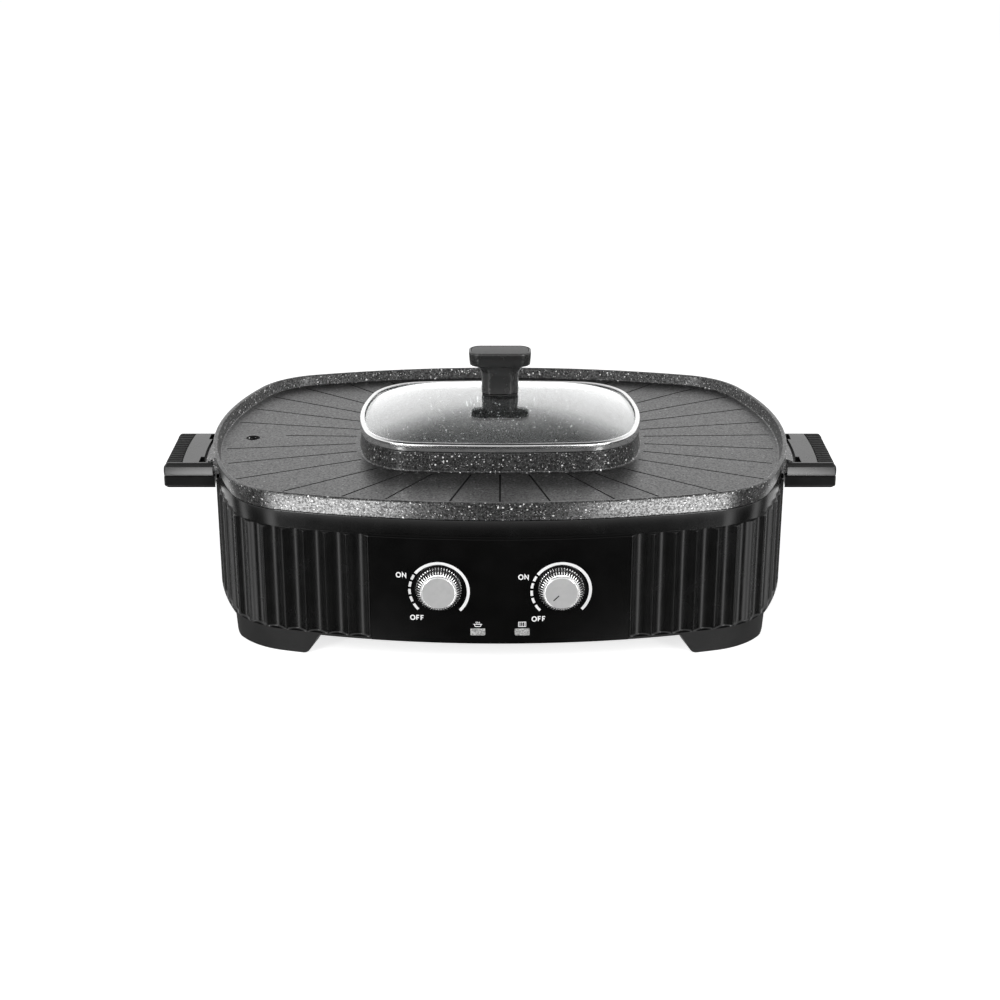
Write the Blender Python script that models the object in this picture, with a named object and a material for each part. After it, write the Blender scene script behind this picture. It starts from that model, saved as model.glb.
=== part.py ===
"""Electric hot pot and grill in one: a fluted base, a lift-off pan with a pot in its middle, and a glass lid.

Metres, +Z up. The long side lies along X, the front with its two knobs faces -Y, and Z is 0 under the foot
pads. Every piece is drawn about the middle of the pan's rim, and one empty then centres the whole on Y.
"""

import math

import bmesh
import bpy
from mathutils import Vector
from mathutils.geometry import tessellate_polygon

# Shared by all pieces
CLEARANCE = 0.0003
OVERRUN = 0.003
SHEET = 0.0012

# Plan outline of the pan's rim: tangent arcs
RIM_HALF_LENGTH = 0.230
RIM_HALF_DEPTH = 0.170
RIM_SIDE_RADIUS = 0.615
RIM_END_RADIUS = 0.280
RIM_CORNER_RADIUS = 0.064

# Plan outline of the lid, which the pot's collar follows
LID_HALF_LENGTH = 0.112
LID_HALF_DEPTH = 0.082
LID_SIDE_RADIUS = 0.800
LID_END_RADIUS = 0.180
LID_CORNER_RADIUS = 0.0445

# Stack of heights, from the ground up
FOOT_HEIGHT = 0.017
BOTTOM_COVER_THICKNESS = 0.0022
WIRING_SPACE = 0.0173
SADDLE_HEIGHT = 0.0092
HEATER_RADIUS = 0.0035
HEATER_GAP = 0.0035
POT_FLOOR = 0.0040
POT_DEPTH = 0.0750
COLLAR_HEIGHT = 0.0156
PLATE_THICKNESS = 0.0045
RIM_WELL_DEPTH = 0.0086
RIM_HEIGHT = 0.0150

# Pan
RIM_FOOT_INSET = 0.0036
RIM_CHAMFER = 0.0010
RIM_LIP_WIDTH = 0.0034
RIM_WALL = 0.0058
PLATE_FILLET = 0.0012
COLLAR_INSET = 0.0004
COLLAR_FLARE = 0.0012
COLLAR_FILLET = 0.0018
COLLAR_CHAMFER = 0.0006
COLLAR_WALL = 0.0042
POT_DRAFT = 0.0040
POT_WALL = 0.0035
POT_CORNER = 0.0120
PAN_SKIRT_WALL = 0.0022
PAN_SKIRT_DROP = 0.0045
DRAIN_INSET = 0.0293
DRAIN_RADIUS = 0.0048
SPOUT_WALL = 0.0016
SPOUT_DROP = 0.0070
SCORE_WIDTH = 0.0011
SCORE_DEPTH = 0.0008
SCORE_RIM_GAP = 0.0035
SCORE_DRAIN_GAP = 0.0260
SCORE_ANGLES = (14.5, 31.5, 41.5, 53, 64.5, 74, 83, 92, 100.5, 110, 119, 128, 137.5, 147.5, 158, 169)

# Lugs on the pan and the handles that clamp their tongues
LUG_HALF_WIDTH = 0.0338
LUG_REACH = 0.0062
LUG_BAND_GAP = 0.0006
LUG_TOP_DROP = 0.0022
LUG_ROOT_RISE = 0.0040
TONGUE_HALF_WIDTH = 0.0300
TONGUE_THICKNESS = 0.0056
HANDLE_REACH = 0.0380
HANDLE_HALF_WIDTH = 0.0389
HANDLE_WRAP = 0.0044
HANDLE_SLOT = 0.0020
HANDLE_NOTCH_WIDTH = 0.0028
HANDLE_NOTCH_LENGTH = 0.0130
HANDLE_CORNER = 0.0015
HANDLE_CHAMFER = 0.0028
COVER_HEIGHT = 0.0104
COVER_ROOF = 0.0043
BASE_HEIGHT = 0.0099
BASE_CHAMFER = 0.0010
HANDLE_BASE_GAP = 0.0010
GRIP_WIDTH = 0.0138
GRIP_SEAT_DEPTH = 0.0039
GRIP_END_WALL = 0.0040
GRIP_RIBS = 16
GRIP_RIB_SHARE = 0.64
GRIP_RIB_HEIGHT = 0.0012
HANDLE_SCREW_RADIUS = 0.0018
HANDLE_SCREW_HEAD_RADIUS = 0.0036
HANDLE_SCREW_HEAD_HEIGHT = 0.0024
HANDLE_SCREW_HEAD_DEPTH = 0.0015
HANDLE_SCREW_SPACING = 0.0400
HANDLE_SCREW_REACH = 0.0145

# Housing
CREST_INSET = 0.0010
CREST_WIDTH = 0.0012
FLUTE_DEPTH = 0.0024
FLUTE_PITCH = 0.0165
FLUTE_SCOOP = 0.0045
VALLEY_SHARES = (0.28, 0.72)
BOTTOM_LIP = 0.0020
BAND_HEIGHT = 0.0134
BAND_CHAMFER = 0.0005
HOUSING_WALL = 0.0029
REAR_HALF_WIDTH = 0.0350
POST_RADIUS = 0.0050
POST_ROOT = 0.0020
FOOT_FRONT_REACH = 0.0581
FOOT_SIDE_REACH = 0.0239
POST_FOOT_GAP = 0.0170
FOOT_SLANT = 0.0100
FOOT_END_SLANT = 0.0015
FOOT_DEPTH = 0.0225
FOOT_INSET = 0.0016
FOOT_ROOT = 0.0014
PAD_RADIUS = 0.0080
PAD_HEIGHT = 0.0030
PAD_PROUD = 0.0005

# Bottom cover and its screws
VENT_LENGTH = 0.0550
VENT_WIDTH = 0.0042
VENT_PITCH = 0.0140
VENT_COUNT = 4
VENT_OFFSET = 0.1200
BASE_SCREW_RADIUS = 0.0016
BASE_SCREW_LENGTH = 0.0160
BASE_SCREW_HEAD_RADIUS = 0.0040
BASE_SCREW_HEAD_HEIGHT = 0.0024

# Heat shield, heaters and grease cup
WELL_GAP = 0.0100
WELL_CORNER = 0.0120
SHIELD_EDGE_GAP = 0.0020
SHIELD_EDGE_HEIGHT = 0.0088
GRILL_HEATER_GAP = 0.0094
GRILL_SADDLE_HEIGHT = 0.0047
GRILL_HEATER_INSET = 0.0460
POT_HEATER_INSET = 0.0340
HEATER_LEG_SPACING = 0.0280
HEATER_LEG_DROP = 0.0090
HEATER_BEND = 0.0080
SADDLE_WALL = 0.0015
SADDLE_WIDTH = 0.0120
CUP_LENGTH = 0.0500
CUP_WIDTH = 0.0220
CUP_HEIGHT = 0.0120

# Control panel, knobs and lamps
PANEL_HALF_WIDTH = 0.0974
PANEL_THICKNESS = 0.0020
KNOB_SPACING = 0.0904
KNOB_RISE = 0.0035
KNOB_RADIUS = 0.0169
KNOB_TEETH = 48
KNOB_TOOTH_DEPTH = 0.0007
KNOB_SKIRT_HEIGHT = 0.0082
KNOB_GRIP_HEIGHT = 0.0070
KNOB_SKIRT_LIP = 0.0007
KNOB_CAP_RADIUS = 0.01265
KNOB_CAP_HEIGHT = 0.0015
KNOB_CAP_BEVEL = 0.0005
KNOB_BORE_DEPTH = 0.0050
KNOB_STANDOFF = 0.0006
BOSS_MARGIN = 0.0010
BOSS_PROUD = 0.0002
SHAFT_RADIUS = 0.0030
SHAFT_FLAT_SHARE = 0.6
SHAFT_HOLE_GAP = 0.0010
BRACKET_HALF_WIDTH = 0.0780
BRACKET_TOP_MARGIN = 0.0120
BRACKET_FLANGE = 0.0120
THERMOSTAT_HALF_WIDTH = 0.0140
THERMOSTAT_DEPTH = 0.0160
THERMOSTAT_BUSHING_RADIUS = 0.0046
THERMOSTAT_BUSHING_LENGTH = 0.0024
LAMP_SPACING = 0.0330
LAMP_HEIGHT = 0.0098
LENS_HALF_WIDTH = 0.0056
LENS_HALF_HEIGHT = 0.0028
LENS_PROUD = 0.0005
BOARD_HALF_LENGTH = 0.0260
BOARD_HALF_HEIGHT = 0.0042
BOARD_THICKNESS = 0.0016
LED_HALF_SIZE = 0.0020
LED_HEIGHT = 0.0014

# Power inlet at the back and the terminal block inside
INLET_RISE = 0.0290
INLET_HALF_WIDTH = 0.0150
INLET_HALF_HEIGHT = 0.0110
INLET_FLANGE_MARGIN = 0.0040
INLET_FLANGE_THICKNESS = 0.0020
INLET_DEPTH = 0.0210
INLET_WALL = 0.0025
INLET_SOCKET_DEPTH = 0.0150
PIN_HALF_WIDTH = 0.0010
PIN_HALF_HEIGHT = 0.0020
PIN_PITCH = 0.0070
PIN_SETBACK = 0.0030
TERMINAL_WAYS = 4
TERMINAL_PITCH = 0.0100
TERMINAL_HEIGHT = 0.0130
TERMINAL_HALF_DEPTH = 0.0085
TERMINAL_SLOT = 0.0020
TERMINAL_SLOT_DEPTH = 0.0040
TERMINAL_SETBACK = 0.0340

# Lid
BAND_RING_HEIGHT = 0.0076
BAND_RING_BULGE = 0.0009
BAND_RING_LIP = 0.0030
BAND_RING_SHEET = 0.0013
BAND_RING_FLANGE = 0.0034
GLASS_THICKNESS = 0.0032
GLASS_EDGE_GAP = 0.0004
GLASS_RISE = 0.0163
GLASS_EDGE_RISE = 0.0004
GLASS_RING_SHARES = (0.74, 0.42)
GLASS_LAND_RADIUS = 0.0150
WASHER_THICKNESS = 0.0010
WASHER_MARGIN = 0.0004
LID_SCREW_RADIUS = 0.0023
LID_SCREW_HEAD_RADIUS = 0.0055
LID_SCREW_HEAD_HEIGHT = 0.0027
LID_SCREW_GRIP = 0.0120
LID_SCREW_WASHER_RADIUS = 0.0090
LID_SCREW_WASHER_THICKNESS = 0.0012
LID_KNOB_HEIGHT = 0.0350
LID_KNOB_CAP_HEIGHT = 0.0112
LID_KNOB_CAP_HALF_LENGTH = 0.0250
LID_KNOB_CAP_HALF_DEPTH = 0.0130
LID_KNOB_NECK_HALF_LENGTH = 0.0148
LID_KNOB_NECK_HALF_DEPTH = 0.0086
LID_KNOB_CORNER = 0.0080
LID_KNOB_EDGE = 0.0012
LID_KNOB_TAPER = 0.0008
LID_KNOB_FLARE_HEIGHT = 0.0100
LID_KNOB_FLARE_SHARES = ((0.0, 0.0), (0.45, 0.08), (0.80, 0.24), (1.0, 0.45))
INLAY_MARGIN = 0.0017
INLAY_THICKNESS = 0.0012

# Heights worked out from the stack
BOTTOM_COVER_TOP = FOOT_HEIGHT + BOTTOM_COVER_THICKNESS
WELL_FLOOR_Z = BOTTOM_COVER_TOP + WIRING_SPACE + SHEET
POT_HEATER_Z = WELL_FLOOR_Z + CLEARANCE + SADDLE_HEIGHT + CLEARANCE + HEATER_RADIUS
POT_UNDER_Z = POT_HEATER_Z + HEATER_RADIUS + HEATER_GAP
POT_FLOOR_Z = POT_UNDER_Z + POT_FLOOR
COLLAR_TOP_Z = POT_FLOOR_Z + POT_DEPTH
GRILL_Z = COLLAR_TOP_Z - COLLAR_HEIGHT
PLATE_UNDER_Z = GRILL_Z - PLATE_THICKNESS
RIM_TOP_Z = GRILL_Z + RIM_WELL_DEPTH
RIM_FOOT_Z = RIM_TOP_Z - RIM_HEIGHT
HOUSING_TOP_Z = RIM_FOOT_Z - CLEARANCE
FLUTE_TOP_Z = HOUSING_TOP_Z - BAND_HEIGHT
GRILL_HEATER_Z = PLATE_UNDER_Z - GRILL_HEATER_GAP - HEATER_RADIUS
SHELF_Z = GRILL_HEATER_Z - HEATER_RADIUS - CLEARANCE - GRILL_SADDLE_HEIGHT - CLEARANCE
HANDLE_TOP_Z = RIM_FOOT_Z - LUG_TOP_DROP
COVER_UNDER_Z = HANDLE_TOP_Z - COVER_HEIGHT
HANDLE_UNDER_Z = COVER_UNDER_Z - CLEARANCE - BASE_HEIGHT
LID_UNDER_Z = COLLAR_TOP_Z + CLEARANCE
LID_BAND_TOP_Z = LID_UNDER_Z + BAND_RING_HEIGHT
GLASS_EDGE_Z = LID_BAND_TOP_Z - BAND_RING_SHEET - GLASS_EDGE_GAP - GLASS_EDGE_RISE - CLEARANCE
GLASS_TOP_Z = GLASS_EDGE_Z + GLASS_EDGE_RISE + GLASS_RISE
LID_KNOB_Z = GLASS_TOP_Z + CLEARANCE + WASHER_THICKNESS + CLEARANCE
KNOB_Z = (FOOT_HEIGHT + FLUTE_TOP_Z) / 2 + KNOB_RISE
LAMP_Z = FOOT_HEIGHT + LAMP_HEIGHT
INLET_Z = FOOT_HEIGHT + INLET_RISE

# Insets from the rim's outline
BAND_INSET = RIM_FOOT_INSET
SEAT_INSET = CREST_INSET + PANEL_THICKNESS + CLEARANCE
INNER_INSET = BAND_INSET + HOUSING_WALL
POST_INSET = INNER_INSET - POST_ROOT + POST_RADIUS
SHIELD_INSET = INNER_INSET + SHIELD_EDGE_GAP
PAN_SKIRT_INSET = INNER_INSET + 2 * CLEARANCE
PAD_INSET = FOOT_INSET + FOOT_DEPTH / 2
TONGUE_Z = COVER_UNDER_Z + CLEARANCE / 2

# Arcs and circles are divided into this many straight pieces
HALF_SIDE_STEPS = 4
CORNER_STEPS = 6
END_STEPS = 6
CIRCLE_STEPS = 20
SMALL_CIRCLE_STEPS = 10
KNOB_CAP_STEPS = 32
THERMOSTAT_STEPS = 16


class Outline:
    """A closed oval of tangent arcs, two sides, two ends and four corners, walked from the front's middle."""

    def __init__(self, half_length, half_depth, side_radius, end_radius, corner_radius):
        side_centre = Vector((0, half_depth - side_radius))
        end_centre = Vector((half_length - end_radius, 0))
        span = end_centre - side_centre
        side_reach = side_radius - corner_radius
        end_reach = end_radius - corner_radius
        along = (side_reach**2 - end_reach**2 + span.length_squared) / (2 * span.length)
        across = math.sqrt(side_reach**2 - along**2)
        corner = side_centre + span.normalized() * along + Vector((span.y, -span.x)).normalized() * across
        side_angle = math.atan2(corner.y - side_centre.y, corner.x - side_centre.x)
        end_angle = math.atan2(corner.y - end_centre.y, corner.x - end_centre.x)
        flip = Vector((-1, 1))
        front = -math.pi / 2
        self.half_depth = half_depth
        self.side_radius = side_radius
        self.end_radius = end_radius
        self.half_length = half_length
        self.arcs = [
            (-side_centre, side_radius, front, -side_angle, HALF_SIDE_STEPS),
            (Vector((corner.x, -corner.y)), corner_radius, -side_angle, -end_angle, CORNER_STEPS),
            (end_centre, end_radius, -end_angle, end_angle, END_STEPS),
            (corner, corner_radius, end_angle, side_angle, CORNER_STEPS),
            (side_centre, side_radius, side_angle, math.pi - side_angle, 2 * HALF_SIDE_STEPS),
            (corner * flip, corner_radius, math.pi - side_angle, math.pi - end_angle, CORNER_STEPS),
            (-end_centre, end_radius, math.pi - end_angle, math.pi + end_angle, END_STEPS),
            (-corner, corner_radius, math.pi + end_angle, math.pi + side_angle, CORNER_STEPS),
            (-side_centre, side_radius, math.pi + side_angle, math.tau + front, HALF_SIDE_STEPS),
        ]
        lengths = [radius * (stop - start) for _, radius, start, stop, _ in self.arcs]
        self.length = sum(lengths)
        self.corner_middle = lengths[0] + lengths[1] / 2

    def ring(self, inset, z):
        """Points all round the outline, moved in by inset."""
        points = []
        for centre, radius, start, stop, steps in self.arcs:
            for step in range(steps):
                angle = start + (stop - start) * step / steps
                reach = radius - inset
                points.append(Vector((centre.x + reach * math.cos(angle), centre.y + reach * math.sin(angle), z)))
        return points

    def place(self, distance, inset, z):
        """The point that lies distance along the outline from the front's middle, moved in by inset."""
        distance %= self.length
        for centre, radius, start, stop, _ in self.arcs:
            length = radius * (stop - start)
            if distance <= length:
                break
            distance -= length
        angle = start + distance / radius
        reach = radius - inset
        return Vector((centre.x + reach * math.cos(angle), centre.y + reach * math.sin(angle), z))

    def front_y(self, x, inset):
        """Where the front side lies at x, moved in by inset."""
        return self.side_radius - self.half_depth - math.sqrt((self.side_radius - inset) ** 2 - x**2)

    def end_x(self, y, inset):
        """Where the right end lies at y, moved in by inset."""
        return self.half_length - self.end_radius + math.sqrt((self.end_radius - inset) ** 2 - y**2)


RIM = Outline(RIM_HALF_LENGTH, RIM_HALF_DEPTH, RIM_SIDE_RADIUS, RIM_END_RADIUS, RIM_CORNER_RADIUS)
LID = Outline(LID_HALF_LENGTH, LID_HALF_DEPTH, LID_SIDE_RADIUS, LID_END_RADIUS, LID_CORNER_RADIUS)
KNOB_SIDES = {"left": -1, "right": 1}

# Places along Y that the fascia, knobs and bracket share
BOSS_RADIUS = KNOB_RADIUS + BOSS_MARGIN
BOSS_Y = RIM.front_y(KNOB_SPACING / 2 - BOSS_RADIUS, CREST_INSET) - BOSS_PROUD
KNOB_BACK_Y = BOSS_Y - KNOB_STANDOFF
KNOB_CAP_Y = KNOB_BACK_Y - KNOB_SKIRT_HEIGHT - CLEARANCE
KNOB_FACE_Y = KNOB_CAP_Y - KNOB_CAP_HEIGHT
BRACKET_Y = RIM.front_y(BRACKET_HALF_WIDTH, INNER_INSET) + CLEARANCE
INLET_Y = RIM.half_depth - CREST_INSET + CLEARANCE
INLET_FACE_Y = INLET_Y + INLET_FLANGE_THICKNESS
CENTRE_Y = -(KNOB_FACE_Y + INLET_FACE_Y) / 2


def clear_scene():
    for obj in list(bpy.data.objects):
        bpy.data.objects.remove(obj, do_unlink=True)


def finish(name, colour, roughness, metallic=0.0, transmission=0.0):
    """A material made of one Principled BSDF."""
    made = bpy.data.materials.new(name)
    made.use_nodes = True
    shader = made.node_tree.nodes["Principled BSDF"]
    shader.inputs["Base Color"].default_value = (*colour, 1)
    shader.inputs["Roughness"].default_value = roughness
    shader.inputs["Metallic"].default_value = metallic
    shader.inputs["Transmission Weight"].default_value = transmission
    return made


def empty(name, place, parent=None):
    made = bpy.data.objects.new(name, None)
    made.location = Vector(place) - (Vector(parent["place"]) if parent else Vector())
    made["place"] = place
    made.parent = parent
    bpy.context.collection.objects.link(made)
    return made


def piece(name, mesh, material, parent, place=None, smooth=True):
    """An object whose origin is at place, drawn in a bmesh about the middle of the rim."""
    origin = Vector(place if place is not None else parent["place"])
    bmesh.ops.recalc_face_normals(mesh, faces=mesh.faces)
    bmesh.ops.translate(mesh, vec=-origin, verts=mesh.verts)
    data = bpy.data.meshes.new(name)
    mesh.to_mesh(data)
    mesh.free()
    if smooth:
        data.shade_smooth()
        data.set_sharp_from_angle(angle=math.radians(30))
    made = bpy.data.objects.new(name, data)
    made.location = origin - Vector(parent["place"])
    made.parent = parent
    if material:
        data.materials.append(material)
    bpy.context.collection.objects.link(made)
    return made


def tool(target, name, mesh, operation):
    """Joins or cuts target with a hidden helper."""
    helper = piece(name, mesh, None, target.parent, smooth=False)
    helper.hide_render = True
    helper.display_type = "WIRE"
    modifier = target.modifiers.new(name, "BOOLEAN")
    modifier.operation = operation
    modifier.solver = "EXACT"
    modifier.object = helper


def loft(mesh, rings, caps=True, closed=False):
    """Faces between rings of points, with a face over each end, or joined into a loop."""
    made = [[mesh.verts.new(point) for point in ring] for ring in rings]
    pairs = list(zip(made, made[1:]))
    if closed:
        pairs.append((made[-1], made[0]))
    for low, high in pairs:
        for step, corner in enumerate(low):
            after = (step + 1) % len(low)
            mesh.faces.new((corner, low[after], high[after], high[step]))
    if caps and not closed:
        mesh.faces.new(list(reversed(made[0])))
        mesh.faces.new(made[-1])
    return made


def lofted(*rings, caps=True, closed=False):
    mesh = bmesh.new()
    loft(mesh, rings, caps, closed)
    return mesh


def annulus(mesh, outer, inner):
    """Triangles between two loops of vertices, one inside the other."""
    loops = [[Vector((corner.co.x, corner.co.y, 0)) for corner in loop] for loop in (outer, inner)]
    corners = outer + inner
    for triangle in tessellate_polygon(loops):
        mesh.faces.new([corners[index] for index in triangle])


def box(mesh, low, high):
    rings = [
        [(low[0], low[1], z), (high[0], low[1], z), (high[0], high[1], z), (low[0], high[1], z)]
        for z in (low[2], high[2])
    ]
    loft(mesh, rings)


def circle(centre, radius, steps=CIRCLE_STEPS, axis="Z"):
    points = []
    for step in range(steps):
        angle = math.tau * step / steps
        across, up = radius * math.cos(angle), radius * math.sin(angle)
        shift = (across, up, 0) if axis == "Z" else (across, 0, up)
        points.append(Vector(centre) + Vector(shift))
    return points


def post(mesh, x, y, low, high, radius, steps=SMALL_CIRCLE_STEPS):
    loft(mesh, [circle((x, y, z), radius, steps) for z in (low, high)])


def bar(mesh, x, z, low, high, radius, steps=SMALL_CIRCLE_STEPS):
    """A round bar along Y."""
    loft(mesh, [circle((x, y, z), radius, steps, "Y") for y in (low, high)])


def rounded_rectangle(half_length, half_depth, corner, z, steps=4):
    points = []
    for quarter, (sx, sy) in enumerate(((1, 1), (-1, 1), (-1, -1), (1, -1))):
        for step in range(steps + 1):
            angle = math.pi / 2 * (quarter + step / steps)
            x = sx * (half_length - corner) + corner * math.cos(angle)
            y = sy * (half_depth - corner) + corner * math.sin(angle)
            points.append(Vector((x, y, z)))
    return points


def corner_distances(past):
    """The place along the rim's outline that lies past the middle of each corner, towards the nearer end."""
    distance = RIM.corner_middle + past
    half = RIM.length / 2
    return {
        "front_right": distance,
        "back_right": half - distance,
        "back_left": half + distance,
        "front_left": RIM.length - distance,
    }


def flute_columns():
    """Every upright line of the housing's wall, as (distance, inset at the lip, inset in the flutes)."""
    half = RIM.length / 2
    panel_steps = 4
    columns = [(PANEL_HALF_WIDTH * step / panel_steps, SEAT_INSET, SEAT_INSET) for step in range(panel_steps + 1)]
    span = half - REAR_HALF_WIDTH - CREST_WIDTH - PANEL_HALF_WIDTH
    count = round(span / FLUTE_PITCH)
    pitch = span / count
    valley = pitch - CREST_WIDTH
    for index in range(count + 1):
        start = PANEL_HALF_WIDTH + index * pitch
        columns.append((start, CREST_INSET, CREST_INSET))
        columns.append((start + CREST_WIDTH, CREST_INSET, CREST_INSET))
        if index == count:
            break
        for share in VALLEY_SHARES:
            columns.append((start + CREST_WIDTH + valley * share, CREST_INSET, CREST_INSET + FLUTE_DEPTH))
    rear_steps = 3
    for step in range(1, rear_steps + 1):
        columns.append((half - REAR_HALF_WIDTH * (1 - step / rear_steps), CREST_INSET, CREST_INSET))
    mirrored = [(RIM.length - distance, lip, flute) for distance, lip, flute in reversed(columns[1:-1])]
    return columns + mirrored


def foot_rings(name, steps=5):
    """Sections of one corner foot, from its front end to its side end."""
    start = corner_distances(-FOOT_FRONT_REACH)[name]
    stop = corner_distances(FOOT_SIDE_REACH)[name]
    outward = math.copysign(1, stop - start)
    low_start = start + outward * FOOT_SLANT
    low_stop = stop - outward * FOOT_END_SLANT
    wall = INNER_INSET - FOOT_ROOT
    back = FOOT_INSET + FOOT_DEPTH
    rings = []
    for step in range(steps + 1):
        share = step / steps
        top = start + (stop - start) * share
        low = low_start + (low_stop - low_start) * share
        rings.append(
            [
                RIM.place(low, FOOT_INSET, PAD_PROUD),
                RIM.place(low, back, PAD_PROUD),
                RIM.place(top, back, FOOT_HEIGHT - CLEARANCE),
                RIM.place(top, wall, FOOT_HEIGHT - CLEARANCE),
                RIM.place(top, wall, FOOT_HEIGHT + FOOT_ROOT),
                RIM.place(top, FOOT_INSET, FOOT_HEIGHT + FOOT_ROOT),
            ]
        )
    return rings


def pad_places():
    places = corner_distances((FOOT_SIDE_REACH - FOOT_FRONT_REACH) / 2)
    return {name: RIM.place(distance, PAD_INSET, 0) for name, distance in places.items()}


def post_places():
    places = corner_distances(FOOT_SIDE_REACH + POST_FOOT_GAP)
    return {name: RIM.place(distance, POST_INSET, 0) for name, distance in places.items()}


def front_openings(mesh):
    """Holes through the fascia and the wall behind it, for the knobs' shafts and the lamps' lenses."""
    low = BOSS_Y - OVERRUN
    high = RIM.front_y(PANEL_HALF_WIDTH, INNER_INSET) + OVERRUN
    reach = LENS_HALF_WIDTH + CLEARANCE
    rise = LENS_HALF_HEIGHT + CLEARANCE
    for side in KNOB_SIDES.values():
        bar(mesh, side * KNOB_SPACING / 2, KNOB_Z, low, high, SHAFT_RADIUS + SHAFT_HOLE_GAP)
        x = side * LAMP_SPACING / 2
        box(mesh, (x - reach, low, LAMP_Z - rise), (x + reach, high, LAMP_Z + rise))


def make_housing(parent, material):
    """The fluted wall with its smooth band on top, four feet and the posts that carry the heat shield."""
    mesh = bmesh.new()
    columns = flute_columns()
    lip_z = FOOT_HEIGHT + BOTTOM_LIP
    levels = ((1, FOOT_HEIGHT), (1, lip_z), (2, lip_z + FLUTE_SCOOP), (2, FLUTE_TOP_Z))
    fluted = loft(mesh, [[RIM.place(column[0], column[pick], z) for column in columns] for pick, z in levels], caps=False)
    band = loft(
        mesh,
        [
            RIM.ring(BAND_INSET, FLUTE_TOP_Z),
            RIM.ring(BAND_INSET, HOUSING_TOP_Z - BAND_CHAMFER),
            RIM.ring(BAND_INSET + BAND_CHAMFER, HOUSING_TOP_Z),
            RIM.ring(INNER_INSET, HOUSING_TOP_Z),
            RIM.ring(INNER_INSET, FOOT_HEIGHT),
        ],
        caps=False,
    )
    annulus(mesh, fluted[-1], band[0])
    annulus(mesh, fluted[0], band[-1])
    housing = piece("housing", mesh, material, parent)

    grown = bmesh.new()
    for name, spot in post_places().items():
        post(grown, spot.x, spot.y, BOTTOM_COVER_TOP + CLEARANCE, SHELF_Z - SHEET - CLEARANCE, POST_RADIUS)
        loft(grown, foot_rings(name))
    tool(housing, "housing_posts_and_feet", grown, "UNION")

    holes = bmesh.new()
    for spot in post_places().values():
        post(holes, spot.x, spot.y, FOOT_HEIGHT, BOTTOM_COVER_TOP + BASE_SCREW_LENGTH, BASE_SCREW_RADIUS + CLEARANCE)
    for spot in pad_places().values():
        post(holes, spot.x, spot.y, -OVERRUN, PAD_HEIGHT + CLEARANCE, PAD_RADIUS + CLEARANCE, CIRCLE_STEPS)
    reach = INLET_HALF_WIDTH + CLEARANCE
    rise = INLET_HALF_HEIGHT + CLEARANCE
    wall_y = RIM.half_depth - INNER_INSET
    box(holes, (-reach, wall_y - OVERRUN, INLET_Z - rise), (reach, RIM.half_depth + OVERRUN, INLET_Z + rise))
    front_openings(holes)
    tool(housing, "housing_holes", holes, "DIFFERENCE")


def make_panel(parent, material):
    """The smooth bowed fascia with a round boss behind each knob."""
    steps = 16
    top = FLUTE_TOP_Z - CLEARANCE
    half = PANEL_HALF_WIDTH - CLEARANCE
    inner = CREST_INSET + PANEL_THICKNESS
    rings = []
    for step in range(steps + 1):
        distance = half * (2 * step / steps - 1)
        corners = ((CREST_INSET, FOOT_HEIGHT), (CREST_INSET, top), (inner, top), (inner, FOOT_HEIGHT))
        rings.append([RIM.place(distance, inset, z) for inset, z in corners])
    panel = piece("control_panel", lofted(*rings), material, parent)

    bosses = bmesh.new()
    for side in KNOB_SIDES.values():
        front = circle((side * KNOB_SPACING / 2, BOSS_Y, KNOB_Z), BOSS_RADIUS, KNOB_CAP_STEPS, "Y")
        back = [Vector((p.x, RIM.front_y(p.x, CREST_INSET + PANEL_THICKNESS / 2), p.z)) for p in front]
        loft(bosses, [back, front])
    tool(panel, "panel_bosses", bosses, "UNION")

    holes = bmesh.new()
    front_openings(holes)
    tool(panel, "panel_holes", holes, "DIFFERENCE")


def make_lenses(parent, material):
    for name, side in KNOB_SIDES.items():
        x = side * LAMP_SPACING / 2
        face = RIM.front_y(LAMP_SPACING / 2, CREST_INSET) - LENS_PROUD
        back = BRACKET_Y - CLEARANCE - BOARD_THICKNESS - LED_HEIGHT - CLEARANCE
        low = (x - LENS_HALF_WIDTH, face, LAMP_Z - LENS_HALF_HEIGHT)
        high = (x + LENS_HALF_WIDTH, back, LAMP_Z + LENS_HALF_HEIGHT)
        mesh = bmesh.new()
        box(mesh, low, high)
        piece(f"lamp_lens_{name}", mesh, material, parent, smooth=False)


def make_board(parent, material):
    """The small board behind the lenses, with one lamp for each."""
    back = BRACKET_Y - CLEARANCE
    face = back - BOARD_THICKNESS
    mesh = bmesh.new()
    box(mesh, (-BOARD_HALF_LENGTH, face, LAMP_Z - BOARD_HALF_HEIGHT), (BOARD_HALF_LENGTH, back, LAMP_Z + BOARD_HALF_HEIGHT))
    board = piece("indicator_board", mesh, material, parent, smooth=False)
    lamps = bmesh.new()
    for side in KNOB_SIDES.values():
        x = side * LAMP_SPACING / 2
        low = (x - LED_HALF_SIZE, face - LED_HEIGHT, LAMP_Z - LED_HALF_SIZE)
        box(lamps, low, (x + LED_HALF_SIZE, face + BOARD_THICKNESS / 2, LAMP_Z + LED_HALF_SIZE))
    tool(board, "indicator_lamps", lamps, "UNION")


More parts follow.
